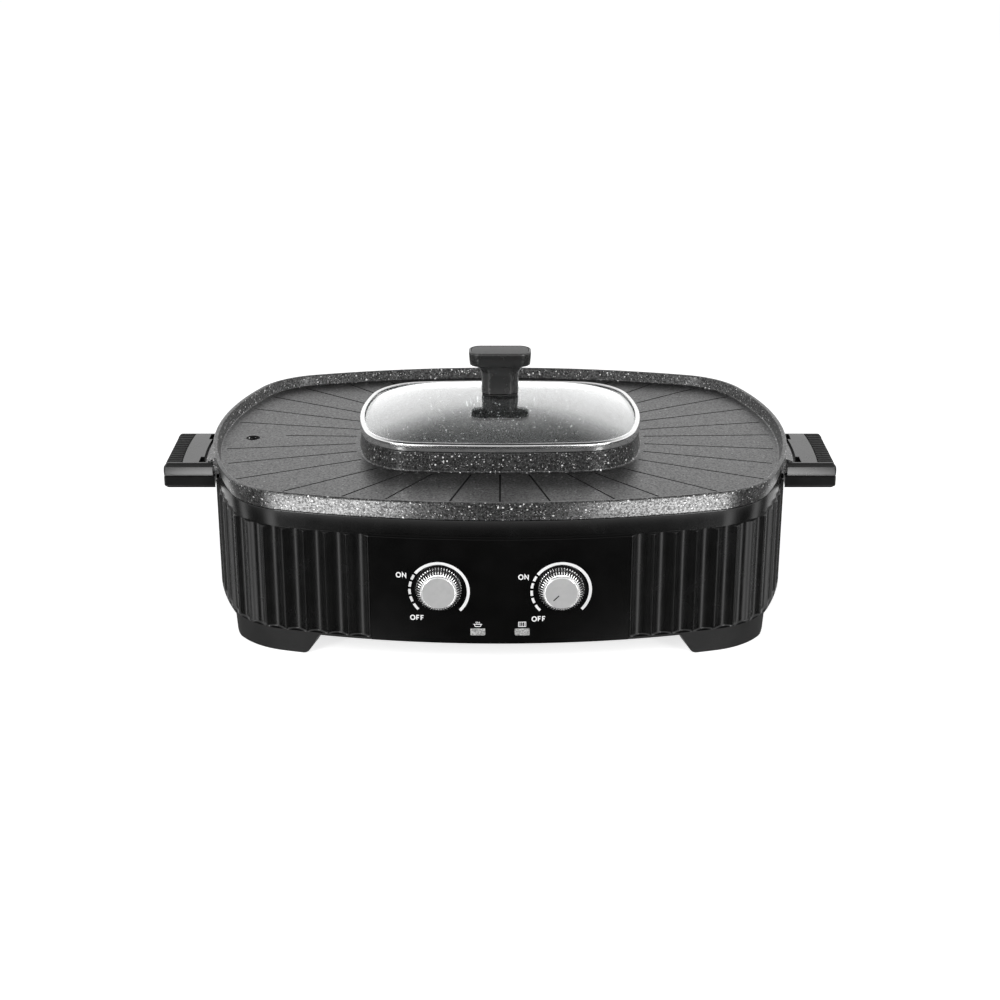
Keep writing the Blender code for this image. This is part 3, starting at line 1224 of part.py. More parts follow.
def make_lid(parent, steel, glass, plastic, inlay, rubber):
    """A glass dome held in a steel band, with a knob screwed through its middle."""
    top = LID_BAND_TOP_Z
    low = LID_UNDER_Z
    wall = BAND_RING_SHEET
    band = lofted(
        LID.ring(0, low),
        LID.ring(-BAND_RING_BULGE, low + wall),
        LID.ring(-BAND_RING_BULGE, low + BAND_RING_HEIGHT / 2),
        LID.ring(0, top - wall / 2),
        LID.ring(wall, top),
        LID.ring(BAND_RING_LIP, top - wall / 2),
        LID.ring(BAND_RING_LIP, top - wall),
        LID.ring(wall, top - wall),
        LID.ring(wall, low + wall),
        LID.ring(BAND_RING_FLANGE, low + wall),
        LID.ring(BAND_RING_FLANGE, low),
        closed=True,
    )
    piece("lid_band", band, steel, parent)

    edge_inset = BAND_RING_SHEET + GLASS_EDGE_GAP
    start_inset = BAND_RING_FLANGE
    start_z = GLASS_EDGE_Z + GLASS_EDGE_RISE
    hole = LID_SCREW_RADIUS + SHEET
    steps = len(LID.ring(0, 0))
    upper = [LID.ring(edge_inset, GLASS_EDGE_Z), LID.ring(start_inset, start_z)]
    for share in GLASS_RING_SHARES:
        z = start_z + GLASS_RISE * (1 - share**2)
        upper.append([Vector((point.x * share, point.y * share, z)) for point in LID.ring(start_inset, 0)])
    for radius in (GLASS_LAND_RADIUS, hole):
        spokes = [math.tau * step / steps - math.pi / 2 for step in range(steps)]
        upper.append([Vector((radius * math.cos(spoke), radius * math.sin(spoke), GLASS_TOP_Z)) for spoke in spokes])
    lower = [[point - Vector((0, 0, GLASS_THICKNESS)) for point in ring] for ring in reversed(upper)]
    piece("lid_glass", lofted(*upper, *lower, closed=True), glass, parent)

    neck = (LID_KNOB_NECK_HALF_LENGTH, LID_KNOB_NECK_HALF_DEPTH)
    cap = (LID_KNOB_CAP_HALF_LENGTH, LID_KNOB_CAP_HALF_DEPTH)
    cap_low = LID_KNOB_Z + LID_KNOB_HEIGHT - LID_KNOB_CAP_HEIGHT
    cap_top = LID_KNOB_Z + LID_KNOB_HEIGHT
    corner = LID_KNOB_CORNER
    rings = [rounded_rectangle(*neck, corner, LID_KNOB_Z)]
    for rise, spread in LID_KNOB_FLARE_SHARES:
        z = cap_low - LID_KNOB_FLARE_HEIGHT * (1 - rise)
        length = neck[0] + (cap[0] - LID_KNOB_TAPER - neck[0]) * spread
        depth = neck[1] + (cap[1] - LID_KNOB_TAPER - neck[1]) * spread
        rings.append(rounded_rectangle(length, depth, corner, z))
    rings.append(rounded_rectangle(cap[0] - LID_KNOB_TAPER, cap[1] - LID_KNOB_TAPER, corner, cap_low + LID_KNOB_EDGE))
    rings.append(rounded_rectangle(*cap, corner, cap_top - LID_KNOB_EDGE))
    edge = LID_KNOB_EDGE
    rings.append(rounded_rectangle(cap[0] - edge, cap[1] - edge, corner - edge, cap_top))
    margin = INLAY_MARGIN
    seat = cap_top - INLAY_THICKNESS
    rings.append(rounded_rectangle(cap[0] - margin, cap[1] - margin, corner - margin, cap_top))
    rings.append(rounded_rectangle(cap[0] - margin, cap[1] - margin, corner - margin, seat - CLEARANCE))
    knob = piece("lid_knob", lofted(*rings), plastic, parent)
    bore = bmesh.new()
    bore_top = LID_KNOB_Z + LID_SCREW_GRIP
    post(bore, 0, 0, LID_KNOB_Z - OVERRUN, bore_top + CLEARANCE, LID_SCREW_RADIUS + CLEARANCE)
    tool(knob, "lid_knob_bore", bore, "DIFFERENCE")

    inset = margin + CLEARANCE
    mesh = lofted(
        rounded_rectangle(cap[0] - inset, cap[1] - inset, corner - inset, seat),
        rounded_rectangle(cap[0] - inset, cap[1] - inset, corner - inset, cap_top),
    )
    piece("lid_knob_inlay", mesh, inlay, parent)

    low = GLASS_TOP_Z + CLEARANCE
    margin = WASHER_MARGIN
    high = low + WASHER_THICKNESS
    rings = [rounded_rectangle(neck[0] - margin, neck[1] - margin, corner - margin, z) for z in (low, high)]
    washer = piece("lid_knob_washer", lofted(*rings), rubber, parent)
    hole = bmesh.new()
    post(hole, 0, 0, low - OVERRUN, high + OVERRUN, LID_SCREW_RADIUS + CLEARANCE)
    tool(washer, "lid_knob_washer_hole", hole, "DIFFERENCE")

    under = GLASS_TOP_Z - GLASS_THICKNESS - CLEARANCE
    plate = under - LID_SCREW_WASHER_THICKNESS
    outer = LID_SCREW_WASHER_RADIUS
    bore = LID_SCREW_RADIUS + CLEARANCE
    mesh = lofted(
        circle((0, 0, under), outer),
        circle((0, 0, under), bore),
        circle((0, 0, plate), bore),
        circle((0, 0, plate), outer),
        closed=True,
    )
    piece("lid_screw_washer", mesh, steel, parent)

    head_top = plate - CLEARANCE
    mesh = lofted(
        circle((0, 0, head_top - LID_SCREW_HEAD_HEIGHT), LID_SCREW_HEAD_RADIUS),
        circle((0, 0, head_top), LID_SCREW_HEAD_RADIUS),
        circle((0, 0, head_top), LID_SCREW_RADIUS),
        circle((0, 0, bore_top), LID_SCREW_RADIUS),
    )
    piece("lid_screw", mesh, steel, parent)


def main():
    clear_scene()
    black_gloss = finish("black_gloss_plastic", (0.012, 0.012, 0.013), 0.22)
    black_satin = finish("black_satin_plastic", (0.020, 0.020, 0.021), 0.42)
    rubber = finish("black_rubber", (0.018, 0.018, 0.018), 0.80)
    coating = finish("speckled_coating", (0.060, 0.060, 0.062), 0.45)
    silver = finish("silver_knurled_metal", (0.72, 0.72, 0.72), 0.25, 1.0)
    satin = finish("satin_grey_metal", (0.46, 0.46, 0.46), 0.45, 0.6)
    steel = finish("stainless_steel", (0.62, 0.62, 0.63), 0.20, 1.0)
    zinc = finish("zinc_plated_steel", (0.55, 0.56, 0.57), 0.38, 1.0)
    heater = finish("heater_tube_steel", (0.16, 0.15, 0.14), 0.50, 0.8)
    glass = finish("tempered_glass", (0.93, 0.95, 0.95), 0.03, 0.0, 1.0)
    lens = finish("lamp_lens_plastic", (0.45, 0.45, 0.45), 0.25, 0.0, 0.4)
    board = finish("circuit_board", (0.05, 0.18, 0.08), 0.50)
    ceramic = finish("switch_ceramic", (0.55, 0.53, 0.48), 0.55)

    frame = empty("appliance", (0, 0, 0))
    frame.location.y = CENTRE_Y
    make_housing(frame, black_gloss)
    make_panel(frame, black_gloss)
    make_lenses(frame, lens)
    make_board(frame, board)
    make_bracket(frame, zinc)
    make_thermostats(frame, ceramic)
    make_bottom_cover(frame, black_satin)
    make_base_screws(frame, zinc)
    make_foot_pads(frame, rubber)
    make_heating(frame, zinc, heater, zinc)
    make_grease_cup(frame, zinc)
    make_inlet(frame, black_satin)
    make_terminal_block(frame, ceramic)
    for name, side in KNOB_SIDES.items():
        axis = empty(f"knob_{name}_axis", (side * KNOB_SPACING / 2, KNOB_BACK_Y, KNOB_Z), frame)
        make_knob(name, side, axis, silver, satin, zinc)
    lift = empty("pan_lift", (0, 0, RIM_FOOT_Z), frame)
    make_pan(lift, coating)
    for name, side in KNOB_SIDES.items():
        make_handle(name, side, lift, black_gloss, rubber, zinc)
    rise = empty("lid_lift", (0, 0, LID_UNDER_Z), lift)
    make_lid(rise, steel, glass, black_satin, black_satin, rubber)


main()
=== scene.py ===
"""The looks of the hot pot and grill: fine meshes over its solids, finishes, lights and camera.

Metres, +Z up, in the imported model's frame. Pieces are drawn about the middle of the pan's rim, as the solids
are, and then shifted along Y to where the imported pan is. A profile is a list of (inset, height, rounding).
"""

import math

import bmesh
import bpy
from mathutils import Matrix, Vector


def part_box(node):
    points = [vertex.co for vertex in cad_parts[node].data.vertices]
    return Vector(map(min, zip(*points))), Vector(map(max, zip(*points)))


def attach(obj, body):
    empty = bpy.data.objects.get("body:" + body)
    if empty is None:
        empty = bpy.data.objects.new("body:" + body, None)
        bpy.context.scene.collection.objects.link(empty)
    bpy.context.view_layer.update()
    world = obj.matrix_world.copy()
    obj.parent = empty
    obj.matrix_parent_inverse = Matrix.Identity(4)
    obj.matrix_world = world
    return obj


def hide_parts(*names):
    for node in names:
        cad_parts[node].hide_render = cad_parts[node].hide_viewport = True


# Shared
CLEARANCE = 0.0003
OVERRUN = 0.003
WELD = 1e-7
TINY = 1e-12
COLUMN_GAP = 0.0002
EDGE_SHARE = 0.49
CRISP_ANGLE = math.radians(32)
CAP_CRISP_ANGLE = math.radians(20)
GLASS_CRISP_ANGLE = math.radians(50)
SIDES = {"left": -1, "right": 1}

# Plan outlines of the rim and the lid: half length, half depth, side, end and corner radius
RIM_SIZES = (0.230, 0.170, 0.615, 0.280, 0.064)
LID_SIZES = (0.112, 0.082, 0.800, 0.180, 0.0445)

# Heights
FOOT_HEIGHT = 0.017
LIP_Z = 0.019
FLUTE_TOP_Z = 0.1013
HOUSING_TOP_Z = 0.1147
RIM_FOOT_Z = 0.1150
GRILL_Z = 0.1214
RIM_TOP_Z = 0.1300
COLLAR_TOP_Z = 0.1370
POT_FLOOR_Z = 0.0620
POT_UNDER_Z = 0.0580
PLATE_UNDER_Z = 0.1169
KNOB_Z = 0.06265
LAMP_Z = 0.0268

# Housing
CREST_INSET = 0.0010
CREST_WIDTH = 0.0012
CREST_SHARES = (0.0, 0.25, 0.5, 0.75, 1.0)
FLUTE_DEPTH = 0.0024
FLUTE_PITCH = 0.0165
FLUTE_CURVE = 1.15
FLUTE_COLUMNS = 12
SEAT_COLUMNS = 20
REAR_COLUMNS = 10
CREST_DROP = 0.0003
SLOT_END = 0.0026
SLOT_CORNER = 0.0022
SLOT_SCOOP = 0.0018
CREST_ROUND = 0.0012
BAND_INSET = 0.0036
BAND_CHAMFER = 0.0008
BAND_CHAMFER_SHARE = 0.3
INNER_INSET = 0.0065
SEAT_INSET = 0.0033
PANEL_HALF_WIDTH = 0.0974
PANEL_THICKNESS = 0.0020
PANEL_FOOT_ROUND = 0.0006
PANEL_TOP_ROUND = 0.0005
REAR_HALF_WIDTH = 0.0350
LIP_ROUND = 0.0008
FOOT_START = 0.1380
FOOT_END = 0.2200
FOOT_SLANT = 0.0100
FOOT_END_SLANT = 0.0015
FOOT_GROUND = 0.0005
FOOT_TAPER = 0.0006
FOOT_BACK = 0.0241
FOOT_ROUND = 0.0065
FOOT_START_ROUND = 0.0015
FOOT_END_ROUND = 0.0008

# Pan
RIM_FOOT_INSET = 0.0036
RIM_LIP_WIDTH = 0.0034
RIM_WALL = 0.0058
RIM_FILLET = 0.0012
RIM_FLOOR_WIDTH = 0.0030
RIM_TOP_ROUND = 0.0011
RIM_FOOT_ROUND = 0.0005
COLLAR_INSET = 0.0004
COLLAR_FLARE = 0.0012
COLLAR_FILLET = 0.0018
COLLAR_WALL = 0.0042
LIP_EDGE = 0.0008
POT_DRAFT = 0.0040
POT_WALL = 0.0035
POT_CORNER = 0.0120
PAN_SKIRT_INSET = 0.0071
PAN_SKIRT_WALL = 0.0022
PAN_SKIRT_LOW_Z = 0.1105
DRAIN_INSET = 0.0293
DRAIN_RADIUS = 0.0048
DRAIN_BEVEL = 0.0008
SPOUT_WALL = 0.0016
SPOUT_DROP = 0.0070
SCORE_WIDTH = 0.0015
SCORE_DEPTH = 0.0008
SCORE_MARGIN = 0.0001
SCORE_FLOOR_SHARE = 0.4
SCORE_RIM_GAP = 0.0035
SCORE_DRAIN_GAP = 0.0260
SCORE_ANGLES = (14.5, 31.5, 41.5, 53, 64.5, 74, 83, 92, 100.5, 110, 119, 128, 137.5, 147.5, 158, 169)
LUG_HALF_WIDTH = 0.0338
LUG_REACH = 0.0062
LUG_BAND_GAP = 0.0006
LUG_ROOT_RISE = 0.0040
LUG_ROOT_ROUND = 0.0015
LUG_ROUND = 0.0010
TONGUE_HALF_WIDTH = 0.0300
TONGUE_THICKNESS = 0.0056
TONGUE_GAP = 0.0015

# Handles
HANDLE_TOP_Z = 0.1128
COVER_UNDER_Z = 0.1024
HANDLE_UNDER_Z = 0.0922
HANDLE_REACH = 0.0380
HANDLE_HALF_WIDTH = 0.0389
HANDLE_WRAP = 0.0044
HANDLE_SLOT = 0.0020
HANDLE_NOTCH_WIDTH = 0.0028
HANDLE_NOTCH_LENGTH = 0.0130
HANDLE_CORNER = 0.0015
HANDLE_BASE_GAP = 0.0010
HANDLE_CHAMFER = 0.0028
HANDLE_CHAMFER_SHARE = 0.9
COVER_ROOF = 0.0043
COVER_FOOT = ((0.0008, 0), (0.0003, 0.0003), (0.00015, 0.0010))
COVER_LEAN = (0.0001, 0.0020)
COVER_SHOULDER = (0.0003, 0.0005)
COVER_TOP_ROUND = 0.0006
HANDLE_FLAT = 0.0010
POCKET_GAP = 0.0012
BASE_CHAMFER = 0.0022
BASE_ROUNDS = (0.0010, 0.0016)
SCREW_HEAD = 0.0027
FINE_BEVEL = 0.0004
GRIP_WIDTH = 0.0138
GRIP_SEAT_DEPTH = 0.0039
GRIP_END_WALL = 0.0040
GRIP_BOW = 0.0014
GRIP_RIBS = 16
GRIP_RIB_SHARE = 0.64
GRIP_RIB_HEIGHT = 0.0012
GRIP_END = ((0.0012, 0.0), (0.0003, 0.0004), (0, 0.0012))

# Knobs and lamps, and the skirt's profile from its back as (distance, inset, depth of the ridges)
KNOB_SPACING = 0.0904
KNOB_RADIUS = 0.0169
KNOB_RIDGES = 48
KNOB_RIDGE_STEPS = 6
KNOB_RIDGE_DEPTH = 0.0010
# The share of each tooth's turn, from and to, whose faces get painted shade: a dark, dull finish in the
# grooves
KNOB_GROOVE = (0.2, 0.8)
KNOB_CAP_RADIUS = 0.01265
KNOB_CAP_BEVEL = 0.0006
KNOB_CAP_ROUND = 0.0001
KNOB_CAP_FLAT_INSET = 0.0016
KNOB_CAP_FACING = 0.97
KNOB_SKIRT_LIP = 0.0007
KNOB_PROFILE = (
    (0.0, 0.0010, 0),
    (0.0002, 0.0002, 0.5),
    (0.0005, 0.0, 0.6),
    (0.0010, 0.0002, 0.9),
    (0.0017, 0.0008, 1.0),
    (0.0021, 0.0013, 0.5),
    (0.0024, 0.0013, 0.4),
    (0.0027, 0.0004, 0.9),
    (0.0030, 0.0, 1.1),
    (0.0046, 0.0001, 1.3),
    (0.0056, 0.0005, 1.5),
    (0.0064, 0.0011, 1.5),
    (0.0070, 0.0017, 1.4),
    (0.0075, 0.0023, 1.1),
    (0.0079, 0.0029, 0.4),
)
KNOB_LIP = ((0.0003, -0.0002), (0, 0.0001), (0, 0.0014))
KNOB_BORE = 0.0034
KNOB_BORE_DEPTH = 0.0052
MARK_TURN = math.radians(225)
MARK_SPAN = (0.0026, 0.0084)
MARK_HALF_WIDTH = 0.00042
MARK_PROUD = 0.00004
BEZEL_RADIUS = 0.0179
BEZEL_HOLE = 0.0040
BEZEL_GAP = 0.0005
LAMP_SPACING = 0.0330
LENS_HALF_WIDTH = 0.0056
LENS_HALF_HEIGHT = 0.0028
LENS_CORNER = 0.0009
LENS_ROUND = 0.0006

# Lid
LID_UNDER_Z = 0.1373
LID_BAND_TOP_Z = 0.1449
BAND_BULGE = 0.0009
BAND_SHEET = 0.0013
BAND_LIP = 0.0030
BAND_FLANGE = 0.0034
# The band's outside from its foot up: inset, height from the foot, the middle or the top, rounding
BAND_FOOT = (0.0006, 0.0, 0.0004)
BAND_LOW = (-BAND_BULGE, 0.0007, 0.0006)
BAND_MIDDLE = (0.00005 - BAND_BULGE, 0.0, 0.0012)
BAND_HIGH = (0.0002 - BAND_BULGE, -0.0014, 0.0012)
BAND_SHOULDER = (0.7, 0.0013)
BAND_ROLL = (0.4, 0.0004)
GLASS_EDGE_Z = 0.1425
GLASS_START_Z = 0.1429
GLASS_TOP_Z = 0.1592
GLASS_THICKNESS = 0.0032
GLASS_EDGE = ((0.0020, 0.0), (0.0025, 0.0003))
GLASS_LAND_SHARE = 0.18
GLASS_LAND_RADIUS = 0.0150
GLASS_HOLE = 0.0035
GLASS_STEPS = 22
LID_KNOB_Z = 0.1608
LID_KNOB_HEIGHT = 0.0350
LID_KNOB_CAP = (0.0250, 0.0130)
LID_KNOB_NECK = (0.0148, 0.0086)
LID_KNOB_FLARE = 0.0096
LID_KNOB_FLARE_SHARE = 0.60
LID_KNOB_FLARE_CURVE = 1.8
LID_KNOB_CORNER = 0.0088
LID_KNOB_CORNER_SHARES = (0.9, 0.12)
LID_KNOB_LEAST_SIDE = 0.0002
LID_KNOB_CAP_HEIGHT = 0.0112
LID_KNOB_TAPER = 0.0008
LID_KNOB_FOOT = 0.0006
LID_KNOB_SIDE_RISE = 0.001
END_BOW = 0.0010
INLAY_MARGIN = 0.0017
INLAY_THICKNESS = 0.0012
INLAY_EDGE = ((0, INLAY_THICKNESS), (0, 0.0004), (0.0004, 0.0001), (0.0010, 0))
LID_KNOB_CAP_FOOT = ((0.0009, 0), (0.0003, 0.0002), (0, 0.0007))
LID_KNOB_CAP_EDGE = ((0, 0.0016), (0.0001, 0.0009), (0.0004, 0.0003), (0.0010, 0), (INLAY_MARGIN, 0))

# Print on the panel, its places measured across from the knobs' axes and up from the ground
PRINT_PROUD = 0.00006
DIAL_Z = 0.05965
DIAL_RADIUS = 0.0218
DIAL_STROKE = 0.0022
DASH_STROKE = 0.0019
DIAL_STEP = 2.5
DIAL_ARC = (-52.5, 135.0)
DIAL_DASHES = ((-67.8, -56.8), (-83.6, -72.4), (-99.4, -88.2), (-115.2, -104.0), (-135.0, -120.6))
LETTER_HEIGHT = 0.0044
LETTER_STROKE = 0.00083
LETTER_GAP = 0.00055
LETTER_WIDTHS = {"O": 0.0040, "N": 0.0033, "F": 0.0027}
LETTER_BAR_CUT = 0.0003
WORDS = (("ON", -0.0279, 0.07125), ("OFF", -0.0165, 0.0373))
SIGN_RISE = 0.0063
SIGN_STROKE = 0.00045
SIGN_THIN_STROKE = SIGN_STROKE * 0.8
POT_HALF_WIDTH = 0.0023
POT_DEPTH = 0.0019
POT_BEND = 0.0006
POT_EARS = 0.0009
STEAM_PLACES = (-0.0012, 0.0, 0.0012)
STEAM = ((0, 0.0007), (0.0003, 0.0011), (-0.0003, 0.0016), (0, 0.0020))
GRATE = (0.0027, 0.0018)
GRATE_BARS = (-0.6, 0.0, 0.6)

# Studio: the levels that glossy faces mirror, in degrees from the front and above the horizon
FLOOR_REACH = 12.0
FLOOR_LEVEL = 0.80
FLOOR_GLOW = 0.72
WORLD_FILL = 0.45
SKY = ((-4, 0.0), (2, 1.0), (26, 1.0), (47, 0.6), (66, 0.03))
SKY_LEVEL = 1.6
BACK_LOW = ((-50, 0.05), (-30, 0.6), (-4, 0.6), (2, 0.0))
STRIPS = ((40, 0.0), (45, 0.8), (52, 0.8), (58, 0.0), (90, 0.0), (95, 0.5), (101, 0.5), (108, 0.0))
STRIPS_LOW = ((-40, 0.0), (-30, 1.0), (-4, 1.0), (2, 0.0))
PATCH = ((16, 0.0), (26, 1.0), (52, 1.0), (62, 0.0))
PATCH_LOW = ((-68, 0.0), (-60, 1.0), (-38, 1.0), (-32, 0.0))
WALLS = ((((120, 0.0), (150, 1.0)), BACK_LOW, 2.6), (STRIPS, STRIPS_LOW, 5.0), (PATCH, PATCH_LOW, 4.0))
DARK = 0.03
LID_CARD_LEVELS = (1.6, 0.0)
HANDLE_CARD_LEVELS = (1.4, 0.5)
SKIRT, SHELL = "knob_{}_ridged_skirt", "handle_{}_shell"
# Light panels: name, place, target, width and height, watts, the one piece that shows it, levels, gloss
PANELS = (
    ("key", (-0.7, -1.5, 1.5), (0, 0, 0.1), (1.2, 1.0), 16.0, None, None, False),
    ("fill", (1.3, -1.1, 1.1), (0, 0, 0.1), (1.0, 1.0), 9.0, None, None, False),
    ("lid_card", (0, 1.2, 0.70), (0, 0, 0.15), (3.4, 1.3), 9.0, "lid_dome_glass", LID_CARD_LEVELS, True),
)
# The same, for those that stand at both sides
SIDE_CARDS = (
    ("front_softbox", (1.05, -1.35, 0.55), (0.05, 0, 0.13), (0.30, 0.42), 6.0, None, None),
    ("rim_card", (0.190, -0.250, 0.002), (0.12, -0.158, 0.122), (0.18, 0.07), 0.34, "pan_casting", None),
    ("crown_card", (0.045, -0.32, 0.62), (0.045, -0.175, 0.063), (0.80, 0.46), 6.5, SKIRT, None),
    ("under_card", (0.045, -0.32, 0.004), (0.045, -0.175, 0.063), (0.22, 0.10), 0.09, SKIRT, None),
    ("band_card", (0.35, -0.49, 0.155), (0.06, -0.07, 0.141), (0.46, 0.14), 1.0, "lid_steel_band", None),
    ("card", (0.29, -0.58, 0.004), (0.26, -0.2, 0.35), (0.24, 0.46), 2.6, SHELL, HANDLE_CARD_LEVELS),
)
CROWN_CARD_SHIFT = -0.08
CAMERA_LENS = 65.49
CAMERA_SENSOR = 36.0
CAMERA_PLACE = (0, -1.394757, 0.6042)
CAMERA_TILT = math.radians(69)


# Mesh helpers


def span(start, stop, steps):
    """Evenly spaced values from start to stop, both included."""
    return [start + (stop - start) * step / steps for step in range(steps + 1)]


def polar(centre, reach, angle, z):
    return Vector((centre[0] + reach * math.cos(angle), centre[1] + reach * math.sin(angle), z))


class Outline:
    """A closed oval of tangent arcs from the front's middle on, each (centre, radius, start, stop, steps)."""

    def __init__(self, half_length, half_depth, side_radius, end_radius, corner_radius):
        side_centre = Vector((0, half_depth - side_radius))
        end_centre = Vector((half_length - end_radius, 0))
        line = end_centre - side_centre
        side_reach = side_radius - corner_radius
        end_reach = end_radius - corner_radius
        along = (side_reach**2 - end_reach**2 + line.length_squared) / (2 * line.length)
        across = math.sqrt(side_reach**2 - along**2)
        corner = side_centre + line.normalized() * along + Vector((line.y, -line.x)).normalized() * across
        side_angle = math.atan2(corner.y - side_centre.y, corner.x - side_centre.x)
        end_angle = math.atan2(corner.y - end_centre.y, corner.x - end_centre.x)
        front, turn = -math.pi / 2, math.pi
        self.half_depth = half_depth
        self.side_radius = side_radius
        self.end_radius = end_radius
        self.half_length = half_length
        self.arcs = [
            (-side_centre, side_radius, front, -side_angle, 14),
            (Vector((corner.x, -corner.y)), corner_radius, -side_angle, -end_angle, 20),
            (end_centre, end_radius, -end_angle, end_angle, 22),
            (corner, corner_radius, end_angle, side_angle, 20),
            (side_centre, side_radius, side_angle, turn - side_angle, 28),
            (Vector((-corner.x, corner.y)), corner_radius, turn - side_angle, turn - end_angle, 20),
            (-end_centre, end_radius, turn - end_angle, turn + end_angle, 22),
            (-corner, corner_radius, turn + end_angle, turn + side_angle, 20),
            (-side_centre, side_radius, turn + side_angle, math.tau + front, 14),
        ]
        self.length = sum(radius * (stop - start) for _, radius, start, stop, _ in self.arcs)

    def ring(self, inset, z):
        """Points all round the outline, moved in by inset."""
        return [
            polar(centre, radius - inset, angle, z)
            for centre, radius, start, stop, steps in self.arcs
            for angle in span(start, stop, steps)[:-1]
        ]

    def place(self, distance, inset, z):
        """The point that lies distance along the outline from the front's middle, moved in by inset."""
        distance %= self.length
        for centre, radius, start, stop, _ in self.arcs:
            length = radius * (stop - start)
            if distance <= length:
                break
            distance -= length
        return polar(centre, radius - inset, start + distance / radius, z)

    def front_y(self, x, inset):
        """Where the front side lies at x, moved in by inset."""
        return self.side_radius - self.half_depth - math.sqrt((self.side_radius - inset) ** 2 - x**2)

    def end_x(self, y, inset):
        """Where the right end lies at y, moved in by inset."""
        return self.half_length - self.end_radius + math.sqrt((self.end_radius - inset) ** 2 - y**2)


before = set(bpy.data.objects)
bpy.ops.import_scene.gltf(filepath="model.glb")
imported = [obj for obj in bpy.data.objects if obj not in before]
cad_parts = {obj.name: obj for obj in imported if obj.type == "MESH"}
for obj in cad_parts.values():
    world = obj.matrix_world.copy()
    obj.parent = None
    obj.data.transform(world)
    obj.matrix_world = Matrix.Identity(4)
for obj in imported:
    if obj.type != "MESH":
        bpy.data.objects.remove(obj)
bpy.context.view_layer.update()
CENTRE_Y = (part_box("pan")[0].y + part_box("pan")[1].y) / 2
KNOB_FRONT_Y, KNOB_BACK_Y = (corner.y - CENTRE_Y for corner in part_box("knob_left_skirt"))
KNOB_FACE_Y, KNOB_CAP_Y = (corner.y - CENTRE_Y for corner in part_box("knob_left_cap"))
BEZEL_Y = KNOB_BACK_Y + BEZEL_GAP
RIM = Outline(*RIM_SIZES)
LID = Outline(*LID_SIZES)


def rounded(*corners, steps=4, closed=False):
    """A path through (across, up, radius) corners with each corner rounded off."""
    path = []
    count = len(corners)
    for index, (across, up, radius) in enumerate(corners):
        corner = Vector((across, up))
        if not radius or (not closed and index in (0, count - 1)):
            path.append(corner)
            continue
        before = Vector(corners[index - 1][:2]) - corner
        after = Vector(corners[(index + 1) % count][:2]) - corner
        reach = radius / math.tan(before.angle(after) / 2)
        start = corner + before.normalized() * min(reach, before.length * EDGE_SHARE)
        stop = corner + after.normalized() * min(reach, after.length * EDGE_SHARE)
        for share in span(0, 1, steps):
            path.append(start * (1 - share) ** 2 + corner * 2 * share * (1 - share) + stop * share**2)
    return path


def loft(mesh, rings, closed=False):
    """Faces between rings of points, with a face over each end, or joined into a loop."""
    made = [[mesh.verts.new(point) for point in ring] for ring in rings]
    pairs = list(zip(made, made[1:]))
    if closed:
        pairs.append((made[-1], made[0]))
    for low, high in pairs:
        for step, corner in enumerate(low):
            after = (step + 1) % len(low)
            mesh.faces.new((corner, low[after], high[after], high[step]))
    if not closed:
        mesh.faces.new(list(reversed(made[0])))
        mesh.faces.new(made[-1])


def lofted(rings, closed=False):
    mesh = bmesh.new()
    loft(mesh, rings, closed)
    return mesh


def box(mesh, low, high):
    plan = ((low[0], low[1]), (high[0], low[1]), (high[0], high[1]), (low[0], high[1]))
    loft(mesh, [[(x, y, z) for x, y in plan] for z in (low[2], high[2])])


def circle(centre, radius, steps=48):
    """A ring of points round a line along Z."""
    return [polar(centre, radius, angle, centre[2]) for angle in span(0, math.tau, steps)[:-1]]


def knob_ring(x, y, radius, steps):
    """A ring of points round a knob's axis, which runs along Y."""
    return [Vector((point.x, y, point.y)) for point in circle((x, KNOB_Z, 0), radius, steps)]


def post(mesh, x, y, low, high, radius, steps=32):
    loft(mesh, [circle((x, y, z), radius, steps) for z in (low, high)])


def rounded_rectangle(half_x, half_y, corner, z, steps):
    points = []
    for quarter, (way_x, way_y) in enumerate(((1, 1), (-1, 1), (-1, -1), (1, -1))):
        centre = (way_x * (half_x - corner), way_y * (half_y - corner))
        points += [polar(centre, corner, math.pi / 2 * (quarter + share), z) for share in span(0, 1, steps)]
    return points


def finished_mesh(name, mesh):
    """Mesh data made of mesh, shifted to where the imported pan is."""
    bmesh.ops.recalc_face_normals(mesh, faces=mesh.faces)
    bmesh.ops.translate(mesh, vec=(0, CENTRE_Y, 0), verts=mesh.verts)
    data = bpy.data.meshes.new(name)
    mesh.to_mesh(data)
    mesh.free()
    return data


def smooth(data, crisp=CRISP_ANGLE):
    data.shade_smooth()
    data.set_sharp_from_angle(angle=crisp)


def add_object(name, data):
    made = bpy.data.objects.new(name, data)
    bpy.context.scene.collection.objects.link(made)
    return made


def piece(name, mesh, key, body, *replaced, crisp=CRISP_ANGLE):
    """An object with the finish named key, which rides on body and stands for the nodes in replaced."""
    bmesh.ops.remove_doubles(mesh, verts=mesh.verts, dist=WELD)
    bmesh.ops.dissolve_degenerate(mesh, edges=mesh.edges, dist=WELD)
    data = finished_mesh(name, mesh)
    if crisp:
        smooth(data, crisp)
    data.materials.append(FINISHES[key])
    made = add_object(name, data)
    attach(made, body)
    if replaced:
        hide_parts(*replaced)
    return made


def repaint(made, key, chosen):
    """Gives the faces that chosen picks a second finish."""
    made.data.materials.append(FINISHES[key])
    for face in made.data.polygons:
        if chosen(face):
            face.material_index = 1


